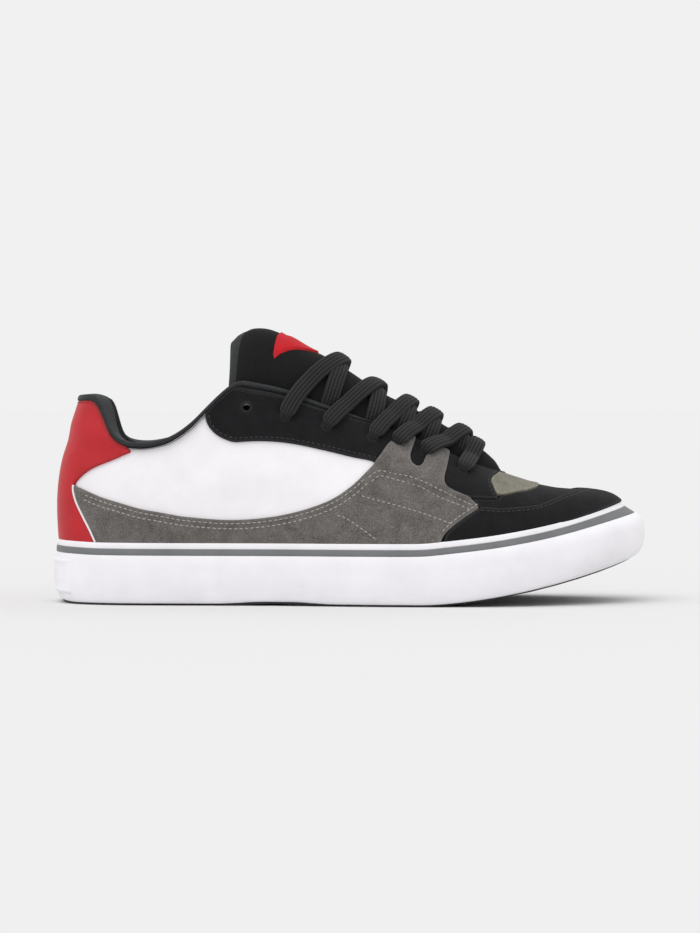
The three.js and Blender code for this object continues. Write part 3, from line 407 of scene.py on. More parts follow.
# Creases and swells that every layer of the upper shares: a line seen from the side, its half width
# and its depth in millimetres (a trough is below zero)
CREASES = [
    ([(0.04, 0.66), (0.075, 0.6), (0.11, 0.6)], 6.0, -0.9),
    ([(0.05, 0.78), (0.075, 0.71), (0.1, 0.68)], 5.0, 0.5),
    ([(0.17, 0.6), (0.2, 0.52), (0.215, 0.42)], 6.0, -0.5),
    ([(0.235, 0.7), (0.25, 0.6), (0.26, 0.5)], 5.0, -0.45),
    ([(0.3, 0.42), (0.36, 0.36), (0.43, 0.35)], 9.0, 0.45),
    ([(0.49, 0.5), (0.51, 0.38), (0.53, 0.28)], 4.5, -0.4),
    ([(0.61, 0.5), (0.63, 0.36), (0.64, 0.2)], 5.0, -0.55),
    ([(0.66, 0.5), (0.672, 0.36), (0.67, 0.24)], 4.0, 0.4),
    ([(0.73, 0.62), (0.745, 0.5), (0.75, 0.36)], 3.6, -0.6),
    ([(0.77, 0.86), (0.78, 0.66), (0.78, 0.5)], 3.6, 0.35),
    ([(0.8, 1.05), (0.812, 0.86), (0.815, 0.68)], 3.4, -0.5),
    ([(0.86, 0.5), (0.9, 0.36), (0.94, 0.1)], 6.0, 0.4),
]
CREASE_LINES = [(side_line(rows, 3.0), half, depth) for rows, half, depth in CREASES]


def relief(p):
    flat = p.reshape(-1, 3)[:, [0, 2]]
    out = np.zeros(len(flat))
    for line, half, depth in CREASE_LINES:
        low, high = line.min(0) - 3 * half, line.max(0) + 3 * half
        near = np.all((flat > low) & (flat < high), axis=1)
        if near.any():
            d, _ = segments_distance(flat[near], line)
            out[near] += depth * np.exp(-(d / half) ** 2)
    return out.reshape(p.shape[:-1])


def skin(around, turn, off=0.0):
    """A point that stands off the form, with its creases."""
    p = bare(around, turn)
    return p + normal(around, turn) * (off + relief(p))[..., None]


# Making meshes

PER_ROW, RISES = 20, 84
US = np.arange(AROUND * PER_ROW + 1) / PER_ROW
VS = np.linspace(0, 1, RISES + 1)
GRID_U, GRID_V = np.meshgrid(US, VS, indexing="ij")
GRID_P, GRID_N = bare(GRID_U, GRID_V), normal(GRID_U, GRID_V)
FLAT = GRID_P.reshape(-1, 3)[:, [0, 2]]
NORMALS = GRID_N.reshape(-1, 3)


def mesh_of(name, points, faces, material, replaces=(), layers=None, uv=None):
    """A smooth-shaded piece from points in millimetres."""
    mesh = bpy.data.meshes.new(name)
    mesh.from_pydata((np.asarray(points) / 1000).tolist(), [], [list(map(int, f)) for f in faces])
    mesh.validate()
    mesh.shade_smooth()
    for key, values in (layers or {}).items():
        layer = mesh.attributes.new(key, "FLOAT", "POINT")
        layer.data.foreach_set("value", np.asarray(values, np.float32))
    if uv is not None:
        layer = mesh.uv_layers.new(name="UVMap")
        corners = np.zeros(len(mesh.loops), int)
        mesh.loops.foreach_get("vertex_index", corners)
        layer.data.foreach_set("uv", np.asarray(uv, np.float32)[corners].ravel())
    mesh.materials.append(material)
    piece = bpy.data.objects.new(name, mesh)
    bpy.context.scene.collection.objects.link(piece)
    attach(piece, "root")
    if replaces:
        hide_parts(*replaces)
    return piece


def strip_faces(rows, columns, closed=False):
    """Faces between rows of points, each row as long as the next."""
    faces = []
    for i in range(rows - 1):
        for j in range(columns if closed else columns - 1):
            k = (j + 1) % columns
            faces.append((i * columns + j, i * columns + k, (i + 1) * columns + k, (i + 1) * columns + j))
    return faces


def closed_strip(rows, columns):
    """Faces between rows of points, and from the last row back to the first."""
    last = (rows - 1) * columns
    return strip_faces(rows, columns) + [(last + j, last + j + 1, j + 1, j) for j in range(columns - 1)]


def outline_field(outline):
    """How far inside a side-view outline the form's points lie, along the form, in millimetres."""
    d, away = segments_distance(FLAT, np.vstack([outline, outline[:1]]))
    lean = away[:, 0] * NORMALS[:, 0] + away[:, 1] * NORMALS[:, 2]
    d = d / np.sqrt(np.clip(1 - lean ** 2, 0.04, 1))
    return np.where(inside_of(FLAT, outline), d, -d).reshape(GRID_U.shape)


def above_line(height, low, high, front=4.0):
    """A side-view outline of all that lies above a height line."""
    at = np.linspace(low, high, 70)
    edge = np.stack([x_of(at), height(x_of(at))], -1)
    top = 3 * HEEL_HEIGHT
    return np.vstack([edge, [[edge[-1, 0] + front, top], [edge[0, 0], top]]])


def throat_field():
    """How far outside the throat the form's points lie."""
    at = at_of(GRID_P[..., 0])
    half = throat_half(at) * BALL_WIDTH
    reach = (THROAT_FRONT_AT - THROAT_ROUND_AT) * LENGTH
    ahead = np.maximum(0, (at - THROAT_ROUND_AT) * LENGTH) / reach
    across = (GRID_P[..., 1] - throat_middle(at)) / half
    field = half * (np.hypot(ahead, across) - 1)
    high = GRID_P[..., 2] > level(BALL_AT, 0) + 0.55 * TOE_HEIGHT
    return np.where(high & (at > 0.28), field, 30)


def eyelet_places():
    line = np.array([(x_of(at), level(at, up)) for at, up in EYELETS])
    return {side: place_of(line, side) for side in (-1, 1)}


EYELET_AT = eyelet_places()
HOLES = [(side, i) for side in (-1, 1) for i in range(len(EYELETS))]
HOLE_CENTRES = {(s, i): bare(EYELET_AT[s][0][i], EYELET_AT[s][1][i]) for s, i in HOLES}


def holes_field(radius):
    field = np.full(GRID_U.shape, 99.0)
    for centre in HOLE_CENTRES.values():
        field = np.minimum(field, np.linalg.norm(GRID_P - centre, axis=-1) - radius)
    return field


BELOW_COLLAR = -outline_field(above_line(collar_height, -0.05, COLLAR_FRONT_AT))
OFF_THROAT = throat_field()
ABOVE_SOLE = outline_field(above_line(lambda x: foxing_top(at_of(x)) - 2, -0.05, 1.05, 0))
OPEN = np.minimum(BELOW_COLLAR, OFF_THROAT)


def cut_grid(field, low, high):
    """The form's grid where the field is above zero, cut along its zero line: places and faces."""
    cols = np.arange(int(low * PER_ROW), int(high * PER_ROW) + 1)
    values = field[cols % (AROUND * PER_ROW)]
    positive = values > 0
    places, index, faces = [], {}, []

    def corner(i, j):
        key = (i, j)
        if key not in index:
            index[key] = len(places)
            places.append((cols[i] / PER_ROW, VS[j]))
        return index[key]

    def crossing(a, b):
        key = (min(a, b), max(a, b))
        if key not in index:
            (i, j), (k, m) = key
            t = values[i, j] / (values[i, j] - values[k, m])
            index[key] = len(places)
            places.append((mix(cols[i], cols[k], t) / PER_ROW, mix(VS[j], VS[m], t)))
        return index[key]

    count = (positive[:-1, :-1].astype(int) + positive[1:, :-1] + positive[1:, 1:] + positive[:-1, 1:])
    for i, j in zip(*np.nonzero(count)):
        ring = [(i, j), (i + 1, j), (i + 1, j + 1), (i, j + 1)]
        if count[i, j] == 4:
            faces.append([corner(*c) for c in ring])
            continue
        face = []
        for a, b in zip(ring, ring[1:] + ring[:1]):
            if positive[a]:
                face.append(corner(*a))
            if positive[a] != positive[b]:
                face.append(crossing(a, b))
        if len(face) > 2:
            faces.append(face)
    return np.array(places), faces


def weld(points, faces, *others):
    """Joins points that coincide."""
    keys = {}
    where = np.zeros(len(points), int)
    keep = []
    for i, key in enumerate(map(tuple, np.round(points / 0.04).astype(int))):
        if key not in keys:
            keys[key] = len(keep)
            keep.append(i)
        where[i] = keys[key]
    out = []
    for face in faces:
        ring = [int(where[i]) for i in face]
        ring = [v for k, v in enumerate(ring) if v != ring[k - 1]]
        if len(set(ring)) > 2 and len(set(ring)) == len(ring):
            out.append(ring)
    return (points[keep], out) + tuple(other[keep] for other in others)


def panel(name, field, span, height, material, replaces=(), roll=0.6, deep=0.4, crown=0.0, flip=False):
    """A piece of leather on the form, with rolled edges. Height is its face's distance off the form,
    a number or a grid. The edges that meet along the crown line have no roll."""
    places, faces = cut_grid(field - roll, *span)
    around, turn = places[:, 0], places[:, 1]
    tall = np.broadcast_to(height, GRID_U.shape)
    top = sample(tall, around, turn)
    inset = sample(field, around, turn)
    base, up = bare(around % AROUND, turn), normal(around % AROUND, turn)
    off = top + crown * (1 - np.exp(-np.clip(inset - roll, 0, 60) / 5)) + relief(base)
    points = base + up * off[:, None]
    points, faces, up, top, inset, turn = weld(points, faces, up, top, inset, turn)
    if flip:
        faces = flipped(faces)
    edges = {edge: True for face in faces for edge in zip(face, face[1:] + face[:1])}
    crown_line = (turn > 0.998) & (inset > roll + 0.3)
    rim = [(a, b) for a, b in edges if (b, a) not in edges and not (crown_line[a] and crown_line[b])]
    out = np.zeros_like(points)
    for a, b in rim:
        way = np.cross(points[b] - points[a], up[a]) * (-1 if flip else 1)
        out[a] += way
        out[b] += way
    for _ in range(2):
        soft = out.copy()
        for a, b in rim:
            soft[a] += unit(out[b])
            soft[b] += unit(out[a])
        out = unit(soft)
    rims = sorted({v for edge in rim for v in edge})
    where = {v: k for k, v in enumerate(rims)}
    ring, n = np.array(rims, int), len(rims)
    edge_layer = np.clip((inset - roll) / 3, 0, 1)
    all_points, layer = [points], [edge_layer]
    for angle in (35, 65, 90):
        a = math.radians(angle)
        all_points.append(points[ring] + out[ring] * roll * math.sin(a) - up[ring] * roll * (1 - math.cos(a)))
        layer.append(np.zeros(n))
    all_points.append(points[ring] + out[ring] * roll - up[ring] * (top[ring, None] + deep))
    layer.append(np.zeros(n))
    bases = [None] + [len(points) + k * n for k in range(4)]
    for a, b in rim:
        rows = [(a, b)] + [(base + where[a], base + where[b]) for base in bases[1:]]
        for (p, q), (r, s) in zip(rows[:-1], rows[1:]):
            faces.append([q, p, r, s])
    return mesh_of(name, np.vstack(all_points), faces, material, replaces,
                   {"edge": np.concatenate(layer)})


def sample(grid, around, turn):
    """A grid's value at any place of the form."""
    u = (around % AROUND) * PER_ROW
    v = turn * RISES
    i, j = np.minimum(u.astype(int), AROUND * PER_ROW - 1), np.minimum(v.astype(int), RISES - 1)
    s, t = u - i, v - j
    return mix(mix(grid[i, j], grid[i + 1, j], s), mix(grid[i, j + 1], grid[i + 1, j + 1], s), t)


def tube(points, ups, wide, tall, sides=12, ribs=0, rib_depth=0.0, closed=False, flat=2.4):
    """A flat-oval tube along a line: its points, faces, and place along and round it."""
    points, ups = np.asarray(points, float), unit(np.asarray(ups, float))
    if closed:
        along = unit(np.roll(points, -1, 0) - np.roll(points, 1, 0))
    else:
        along = unit(np.gradient(points, axis=0))
    across = unit(np.cross(along, ups))
    ups = np.cross(across, along)
    angle = np.arange(sides) / sides * 2 * np.pi
    c, s = np.cos(angle), np.sin(angle)
    radius = (np.abs(c) ** flat + np.abs(s) ** flat) ** (-1 / flat)
    x, y = radius * c, radius * s
    if ribs:
        y = y * (1 - rib_depth + rib_depth * np.abs(np.cos(np.pi * ribs * (x + 1) / 2 + np.pi / 2)))
    wide, tall = np.broadcast_to(wide, len(points)), np.broadcast_to(tall, len(points))
    rings = (points[:, None] + across[:, None] * (x[None, :, None] * wide[:, None, None] / 2)
             + ups[:, None] * (y[None, :, None] * tall[:, None, None] / 2))
    n = len(points)
    faces = strip_faces(n, sides, True)
    if closed:
        faces += [((n - 1) * sides + j, (n - 1) * sides + (j + 1) % sides, (j + 1) % sides, j)
                  for j in range(sides)]
        verts = rings.reshape(-1, 3)
    else:
        verts = np.vstack([rings.reshape(-1, 3), points[:1], points[-1:]])
        first, last = n * sides, n * sides + 1
        faces += [(first, (j + 1) % sides, j) for j in range(sides)]
        faces += [(last, (n - 1) * sides + j, (n - 1) * sides + (j + 1) % sides) for j in range(sides)]
    length = distances(points)
    uv = np.stack([np.repeat(length, sides), np.tile((x + 1) / 2 + np.where(y < 0, 1, 0), n)], -1)
    if not closed:
        uv = np.vstack([uv, [[0, 0.5], [length[-1], 0.5]]])
    return verts, faces, uv


def joined(parts):
    """Several lists of points, faces and UVs as one."""
    points, faces, uvs, base = [], [], [], 0
    for verts, rings, uv in parts:
        points.append(verts)
        uvs.append(uv)
        faces += [[v + base for v in ring] for ring in rings]
        base += len(verts)
    return np.vstack(points), faces, np.vstack(uvs)


def spaced(line, step):
    """A line's points at even steps."""
    gaps = distances(line)
    count = max(2, int(round(gaps[-1] / step)))
    return resampled(line, gaps, (np.arange(count) + 0.5) * gaps[-1] / count)


# Materials

def linear(*rgb):
    """Blender's colour for one given as on a screen."""
    return tuple(c / 255 / 12.92 if c <= 10 else ((c / 255 + 0.055) / 1.055) ** 2.4 for c in rgb) + (1,)


class Shader:
    """A material and its nodes."""

    def __init__(self, name, roughness=0.6, **values):
        self.material = bpy.data.materials.new(name)
        self.material.use_nodes = True
        self.tree = self.material.node_tree
        self.bsdf = self.tree.nodes["Principled BSDF"]
        self.bsdf.inputs["Roughness"].default_value = roughness
        for key, value in values.items():
            self.bsdf.inputs[key.replace("_", " ")].default_value = value

    def node(self, kind, inputs=None, **settings):
        node = self.tree.nodes.new(kind)
        for key, value in settings.items():
            setattr(node, key, value)
        for key, value in (inputs or {}).items():
            if isinstance(value, bpy.types.NodeSocket):
                self.tree.links.new(value, node.inputs[key])
            else:
                node.inputs[key].default_value = value
        return node

    def place(self, stretch=(1, 1, 1)):
        where = self.node("ShaderNodeTexCoord").outputs["Object"]
        return self.node("ShaderNodeMapping", {"Vector": where, "Scale": stretch}).outputs["Vector"]

    def noise(self, scale, detail=3, rough=0.55, stretch=(1, 1, 1)):
        return self.node("ShaderNodeTexNoise", {"Vector": self.place(stretch), "Scale": scale,
                                                "Detail": detail, "Roughness": rough}).outputs["Fac"]

    def cells(self, scale, feature="F1"):
        return self.node("ShaderNodeTexVoronoi", {"Vector": self.place(), "Scale": scale},
                         feature=feature).outputs["Distance"]

    def layer(self, name):
        return self.node("ShaderNodeAttribute", attribute_name=name).outputs["Fac"]

    def math(self, operation, a, b=0.0, c=0.0):
        return self.node("ShaderNodeMath", {0: a, 1: b, 2: c}, operation=operation).outputs[0]

    def ramp(self, fac, *stops):
        node = self.node("ShaderNodeValToRGB", {"Fac": fac})
        ramp = node.color_ramp
        while len(ramp.elements) < len(stops):
            ramp.elements.new(0.5)
        for element, (at, colour) in zip(ramp.elements, stops):
            element.position, element.color = at, colour
        return node.outputs["Color"]

    def blend(self, fac, a, b, kind="MIX"):
        node = self.node("ShaderNodeMix", {"Factor": fac}, data_type="RGBA", blend_type=kind)
        for key, value in (("A", a), ("B", b)):
            socket = next(s for s in node.inputs if s.name == key and s.type == "RGBA")
            if isinstance(value, bpy.types.NodeSocket):
                self.tree.links.new(value, socket)
            else:
                socket.default_value = value
        return next(s for s in node.outputs if s.type == "RGBA")

    def colour(self, socket):
        self.tree.links.new(socket, self.bsdf.inputs["Base Color"])

    def roughness(self, fac, low, high):
        node = self.node("ShaderNodeMapRange", {"Value": fac, "To Min": low, "To Max": high})
        self.tree.links.new(node.outputs["Result"], self.bsdf.inputs["Roughness"])

    def bump(self, *heights):
        """Bumps from (height, depth in millimetres, strength), the broadest first."""
        last = None
        for height, depth, strength in heights:
            inputs = {"Height": height, "Distance": depth / 1000, "Strength": strength}
            if last is not None:
                inputs["Normal"] = last
            last = self.node("ShaderNodeBump", inputs).outputs["Normal"]
        self.tree.links.new(last, self.bsdf.inputs["Normal"])


def leather(name, colour, shade, roughness, coat=0.0, fine=1.0):
    """Smooth coated leather: fine grain, faint mottling and darker cut edges."""
    s = Shader(name, roughness, Coat_Weight=coat, Coat_Roughness=0.35, Specular_IOR_Level=0.4)
    broad = s.noise(70, 4)
    tone = s.ramp(broad, (0.3, shade), (0.7, colour))
    edge = s.ramp(s.layer("edge"), (0.0, (0.9, 0.88, 0.88, 1)), (0.3, (1, 1, 1, 1)))
    s.colour(s.blend(1.0, tone, edge, "MULTIPLY"))
    s.roughness(s.noise(220, 3), roughness - 0.07, roughness + 0.09)
    s.bump((s.noise(90, 3), 0.25, 0.25), (s.cells(1300 * fine), 0.1, 0.22), (s.noise(3800, 3), 0.04, 0.2))
    return s.material


def suede(name, colours, edge_colour, sheen=0.25, stretch=(1, 1, 1.6)):
    """Brushed suede: mottled nap, short fibres and a paler raw edge."""
    s = Shader(name, 0.92, Sheen_Weight=sheen, Sheen_Roughness=0.55, Specular_IOR_Level=0.12)
    dark, middle, light = colours
    nap = s.noise(2300, 4, 0.8, stretch)
    patch = s.noise(150, 4, 0.6)
    fac = s.math("MULTIPLY_ADD", nap, 0.84, s.math("MULTIPLY", patch, 0.16))
    tone = s.ramp(fac, (0.38, dark), (0.5, middle), (0.62, light))
    edge = s.ramp(s.layer("edge"), (0.0, edge_colour), (0.3, (0, 0, 0, 1)))
    s.colour(s.blend(1.0, tone, edge, "ADD"))
    s.bump((patch, 0.4, 0.3), (nap, 0.3, 0.55), (s.noise(5200, 3, 0.7), 0.1, 0.5))
    return s.material


def rubber(name, colour, shade, roughness=0.5):
    """Moulded rubber: faint mould texture and a soft gloss."""
    s = Shader(name, roughness, Coat_Weight=0.08, Coat_Roughness=0.4, Specular_IOR_Level=0.4)
    s.colour(s.ramp(s.noise(60, 5), (0.32, shade), (0.66, colour)))
    s.roughness(s.noise(400, 3), roughness - 0.06, roughness + 0.1)
    s.bump((s.noise(45, 2), 0.3, 0.12), (s.noise(2600, 4), 0.05, 0.3))
    return s.material


def knit(name, dark, light, scale=900, roughness=0.9, depth=0.25, sheen=0.3):
    """Spacer cloth: small round cells between raised threads, with painted shade in the cells."""
    s = Shader(name, roughness, Sheen_Weight=sheen, Specular_IOR_Level=0.15)
    cells = s.cells(scale)
    # painted shade and light: the colour darkens into the sunk cells and pales on the raised threads, following
    # the bump
    s.colour(s.ramp(cells, (0.1, dark), (0.5, light)))
    s.bump((s.noise(90, 3), 0.4, 0.3), (cells, depth, 0.7), (s.noise(4200, 2), 0.06, 0.5))
    return s.material


def braid(name, dark, light, rows=5, pitch=1.7):
    """Flat lace: ribs along it, each knitted in chevrons, with painted shade where the weave sinks."""
    s = Shader(name, 0.9, Sheen_Weight=0.06, Specular_IOR_Level=0.12)
    uv = s.node("ShaderNodeUVMap", uv_map="UVMap").outputs["UV"]
    parts = s.node("ShaderNodeSeparateXYZ", {"Vector": uv})
    along, across = parts.outputs["X"], parts.outputs["Y"]
    rib = s.math("FRACT", s.math("MULTIPLY", across, rows))
    arrow = s.math("ABSOLUTE", s.math("SUBTRACT", rib, 0.5))
    phase = s.math("MULTIPLY_ADD", along, 1 / pitch, s.math("MULTIPLY", arrow, 1.3))
    knot = s.math("ABSOLUTE", s.math("SUBTRACT", s.math("FRACT", phase), 0.5))
    round_ = s.math("SUBTRACT", 0.25, s.math("MULTIPLY", arrow, arrow))
    height = s.math("MULTIPLY_ADD", knot, 0.5, s.math("MULTIPLY", round_, 2.6))
    # painted shade and light: the colour follows the weave's height, dark where it sinks and pale where it rises
    s.colour(s.ramp(height, (0.12, dark), (0.78, light)))
    s.bump((height, 0.45, 0.8), (s.noise(5200, 3), 0.08, 0.5))
    return s.material


def thread(name, colour, shade):
    s = Shader(name, 0.7, Sheen_Weight=0.2)
    s.colour(s.ramp(s.noise(900, 3), (0.3, shade), (0.7, colour)))
    s.bump((s.noise(5000, 2, 0.5, (1, 1, 2.5)), 0.08, 0.6))
    return s.material


WHITE_LEATHER = leather("white_leather", linear(244, 242, 245), linear(238, 235, 239), 0.46, 0.05)
RED_LEATHER = leather("red_leather", linear(188, 22, 32), linear(176, 16, 26), 0.52, 0.02)
GREY_SUEDE = suede("grey_suede", (linear(58, 55, 53), linear(98, 94, 91), linear(140, 136, 133)),
                   linear(44, 42, 40), 0.1)
OLIVE_SUEDE = suede("olive_suede", (linear(76, 73, 63), linear(118, 115, 102), linear(156, 153, 139)),
                    linear(56, 54, 48), 0.1)
BLACK_SUEDE = suede("black_suede", (linear(17, 16, 17), linear(25, 24, 26), linear(38, 38, 40)),
                    linear(30, 30, 31), 0.04)
WHITE_RUBBER = rubber("white_rubber", linear(243, 241, 245), linear(236, 234, 238), 0.48)
STRIPE_RUBBER = rubber("stripe_rubber", linear(114, 115, 117), linear(104, 106, 107), 0.55)
# painted shade: the outsole is coloured dark so that it shows as the shadow line under the foxing
OUTSOLE_SHADE_RUBBER = rubber("outsole_shade_rubber", linear(52, 52, 54), linear(38, 38, 40), 0.62)
COLLAR_CLOTH = knit("collar_cloth", linear(26, 27, 28), linear(50, 52, 53), 1500, depth=0.18, sheen=0.1)
LINING_CLOTH = knit("lining_cloth", linear(34, 34, 36), linear(66, 66, 70), 620)
TONGUE_CLOTH = knit("tongue_cloth", linear(11, 11, 12), linear(25, 25, 26), 1700, depth=0.14, sheen=0.03)
INSOLE_CLOTH = knit("insole_cloth", linear(44, 44, 46), linear(72, 72, 75), 800, depth=0.15)
LACE_BRAID = braid("lace_braid", linear(12, 12, 13), linear(50, 50, 51))
LABEL_CLOTH = knit("label_cloth", linear(164, 20, 28), linear(192, 30, 38), 1900, 0.75, 0.06, 0.05)
BLACK_LINING = knit("black_lining", linear(12, 12, 13), linear(24, 24, 25), 1200, sheen=0.0)
PALE_THREAD = thread("pale_thread", linear(176, 173, 168), linear(146, 142, 136))
DARK_THREAD = thread("dark_thread", linear(44, 44, 46), linear(30, 30, 32))


# Sole

FINE_PER_ROW = 12
FINE = np.arange(AROUND * FINE_PER_ROW) / FINE_PER_ROW
FINE_AT = section(FINE)[:, 0]
FINE_FOOT = bare(FINE, 0.0)
FINE_EDGE = bare(FINE, turn_at(FINE, lambda x: foxing_top(at_of(x))))
FLAT_OUT = unit(normal(FINE, 0.0) * [1, 1, 0])
FINE_BOTTOM = tread_height(FINE_AT) + TREAD_PROUD


def foxing_line(below, off=0.0, up=None):
    """The foxing's face all the way round at a distance below its top, or at a share of its height."""
    tall = FINE_EDGE[:, 2] - FINE_BOTTOM
    below = tall * (1 - up) if up is not None else below
    z = np.maximum(FINE_BOTTOM, FINE_EDGE[:, 2] - below)
    share = (z - FINE_BOTTOM) / tall
    low = np.minimum(share, LIP_FROM)
    heel, side, toe = (line(low) for line in bulge_lines)
    bulge = mix(mix(heel, side, smooth(FINE_AT / 0.12)), toe, smooth((FINE_AT - 0.78) / 0.2))
    foot = FINE_FOOT + FLAT_OUT * (bulge * FOXING_WALL)[:, None]
    lip = FINE_EDGE + FLAT_OUT * FOXING_LIP
    p = mix(foot, lip, smooth((share - LIP_FROM) / (1 - LIP_FROM))[:, None]) + FLAT_OUT * np.reshape(off, (-1, 1))
    p[:, 2] = z
    return p


def ring_piece(name, rows, material, replaces, closed=False):
    points, n = np.vstack(rows), len(rows[0])
    faces = strip_faces(len(rows), n, True)
    if closed:
        last = (len(rows) - 1) * n
        faces += [(last + j, last + (j + 1) % n, (j + 1) % n, j) for j in range(n)]
    return mesh_of(name, points, flipped(faces), material, replaces)


def make_foxing():
    top, foot, groove = STRIPE_DROP, STRIPE_DROP + STRIPE_HEIGHT, 0.35
    rows = [foxing_line(below, off) for below, off in (
        (1.5, -FOXING_LIP + 0.4), (0.0, -FOXING_LIP + 0.8), (0.0, -0.75), (0.1, -0.4), (0.32, -0.12),
        (0.65, 0.0), (top - 0.35, 0.0), (top - 0.12, -0.12), (top, -groove), (foot, -groove),
        (foot + 0.12, -0.12), (foot + 0.4, 0.0))]
    start = 1 - (foot + 1.2) / (FINE_EDGE[:, 2] - FINE_BOTTOM)
    rows += [foxing_line(0, up=mix(start, 0.06, t)) for t in np.linspace(0, 1, 9)]
    rows += [foxing_line(0, -0.12, up=0.03), foxing_line(0, -0.45, up=0.008), foxing_line(0, -1.1, up=0.0)]
    rows.append(rows[-1] - FLAT_OUT * 3.2)
    ring_piece("foxing_wall", rows, WHITE_RUBBER, ("foxing",))


def make_stripe():
    low, high = STRIPE_DROP + 0.05, STRIPE_DROP + STRIPE_HEIGHT - 0.05
    rows = [foxing_line(below, off) for below, off in (
        (low, -0.5), (low, -0.12), (low + 0.15, 0.02), (low + 0.5, 0.1), ((low + high) / 2, 0.12),
        (high - 0.5, 0.1), (high - 0.15, 0.02), (high, -0.12), (high, -0.5))]
    ring_piece("foxing_band", rows, STRIPE_RUBBER, ("foxing_stripe",))


def make_heel_plate():
    half = int(round(HEEL_PLATE_WIDTH / HEEL_WIDTH * 3 * FINE_PER_ROW))
    cols = np.arange(-half, half + 1) % len(FINE)
    low = STRIPE_DROP + STRIPE_HEIGHT + 3
    edge = [(0, -0.2), (0, 0.5), (0.3, 0.95), (1.3, 1.05), (1.8, 0.8), (5, 0.7)]
    profile = [(low + inset, off) for inset, off in edge] + [(low + HEEL_PLATE_HEIGHT / 2, 0.72)]
    profile += [(low + HEEL_PLATE_HEIGHT - inset, off) for inset, off in edge[::-1]]
    rows = []
    for below, off in profile:
        ends = np.minimum(half - np.abs(np.arange(-half, half + 1)), 3)
        rise = np.array([-0.3, 0.55, 0.95, 1.0])[ends]
        face = foxing_line(below, 0.0)[cols]
        rows.append(face + FLAT_OUT[cols] * np.where(rise < 1, np.minimum(rise, off), off)[:, None])
    faces = flipped(strip_faces(len(rows), len(cols)))
    mesh_of("heel_badge", np.vstack(rows), faces, WHITE_RUBBER, ("heel_plate",))


def make_insole():
    rows = np.linspace(0.35, TOE - 0.3, 110)
    outer, inner = skin(rows, 0.0, -WALL - GAP), skin((AROUND - rows) % AROUND, 0.0, -WALL - GAP)
    at = section(rows)[:, 0]
    grid = []
    for t in np.linspace(0, 1, 29):
        p = mix(outer, inner, t)
        edge = np.abs(2 * t - 1)
        dish = 1.6 * (1 - edge ** 2) * smooth((0.3 - at) / 0.2) - 2.2 * smooth((edge - 0.8) / 0.2)
        arch = 1.2 * smooth((t - 0.5) * 2) * smooth((at - 0.3) / 0.1) * smooth((0.6 - at) / 0.12)
        p[:, 2] = slab_top(at) + GAP + INSOLE_THICK - 0.4 - dish + arch
        grid.append(p)
    mesh_of("insole_bed", np.vstack(grid), strip_faces(len(grid), len(rows)), INSOLE_CLOTH,
            ("insole",))


make_foxing()
make_stripe()
make_heel_plate()
make_insole()
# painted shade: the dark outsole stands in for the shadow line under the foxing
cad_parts["outsole"].data.materials.clear()
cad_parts["outsole"].data.materials.append(OUTSOLE_SHADE_RUBBER)


# Upper

def outline(*tables):
    """A side-view outline from lines and single corners."""
    return np.vstack([side_line(table) if len(table) > 1 else
                      np.array([[x_of(at), level(at, up)] for at, up in table]) for table in tables])


SADDLE = outline(SADDLE_TOP, SADDLE_NOTCH, SADDLE_BROW, SADDLE_FRONT, [(0.3, -0.3)], COUNTER_FRONT[::-1])
COUNTER = outline(COUNTER_TOP, COUNTER_FRONT, [(-0.06, -0.1)], [(-0.06, 1.3)], [(0.148, 1.3)])
EYESTAY = outline(EYESTAY_FOOT, EYESTAY_FRONT, [(0.7, 3)], [(0.25, 1.6)])
PATCH = outline(PATCH_EDGE, [(0.836, 4)], [(0.72, 4)], EYESTAY_FRONT[:0:-1])
TOE_GUARD = outline(TOE_EDGE, [(0.918, 4)], [(1.06, 4)], [(1.06, -2)], [(0.66, -0.6)])
VAMP = outline([(0.655, -0.1)], [(0.655, 0.2)], [(0.7, 4)], [(0.93, 4)], [(0.93, -1)])
TOP_OF_OVERLAY = OVERLAY + GAP
TAB_LIFT = TOP_OF_OVERLAY
SEAM = 0.35
QUARTER_END_AT = 0.565
HOLE_FIELD = holes_field(EYELET_HOLE / 2)
LAYER_OPEN = np.minimum(np.minimum(OPEN, ABOVE_SOLE), HOLE_FIELD)
SADDLE_FIELD = outline_field(SADDLE)
EYESTAY_FIELD = outline_field(EYESTAY)
PATCH_FIELD = outline_field(PATCH)
TOE_FIELD = outline_field(TOE_GUARD)
COUNTER_FIELD = outline_field(COUNTER)


def make_upper():
    covered = np.maximum.reduce([SADDLE_FIELD, EYESTAY_FIELD, PATCH_FIELD, TOE_FIELD, COUNTER_FIELD])
    shell = np.minimum(np.minimum(BELOW_COLLAR, ABOVE_SOLE), OFF_THROAT - 1.2)
    visible = np.minimum(np.minimum(shell, holes_field(EYELET_HOLE / 2 - 0.5)), 3.5 - covered)
    behind = (QUARTER_END_AT - at_of(GRID_P[..., 0])) * LENGTH
    panel("quarter", np.minimum(visible, behind), (0, AROUND), 0.0, WHITE_LEATHER,
          ("upper",), 0.3, WALL - 0.4)
    panel("vamp_backing", np.minimum(visible, -behind), (6, 22), 0.0, BLACK_LINING, (), 0.3,
          WALL - 0.4)
    inside = np.minimum(np.minimum(BELOW_COLLAR - 1, OFF_THROAT - 1.0), HOLE_FIELD)
    panel("upper_lining", inside, (0, AROUND), -float(WALL), LINING_CLOTH, (), 0.2,
          -WALL + 0.1, flip=True)


def one_side(field, side):
    return np.where((GRID_U < TOE) == (side < 0), field, -99)


def tab_lift(eyestay):
    """How far a layer rises onto the eyestay, by how far inside the eyestay's outline it is."""
    return TAB_LIFT * smooth((eyestay + 2.0) / 2.2)


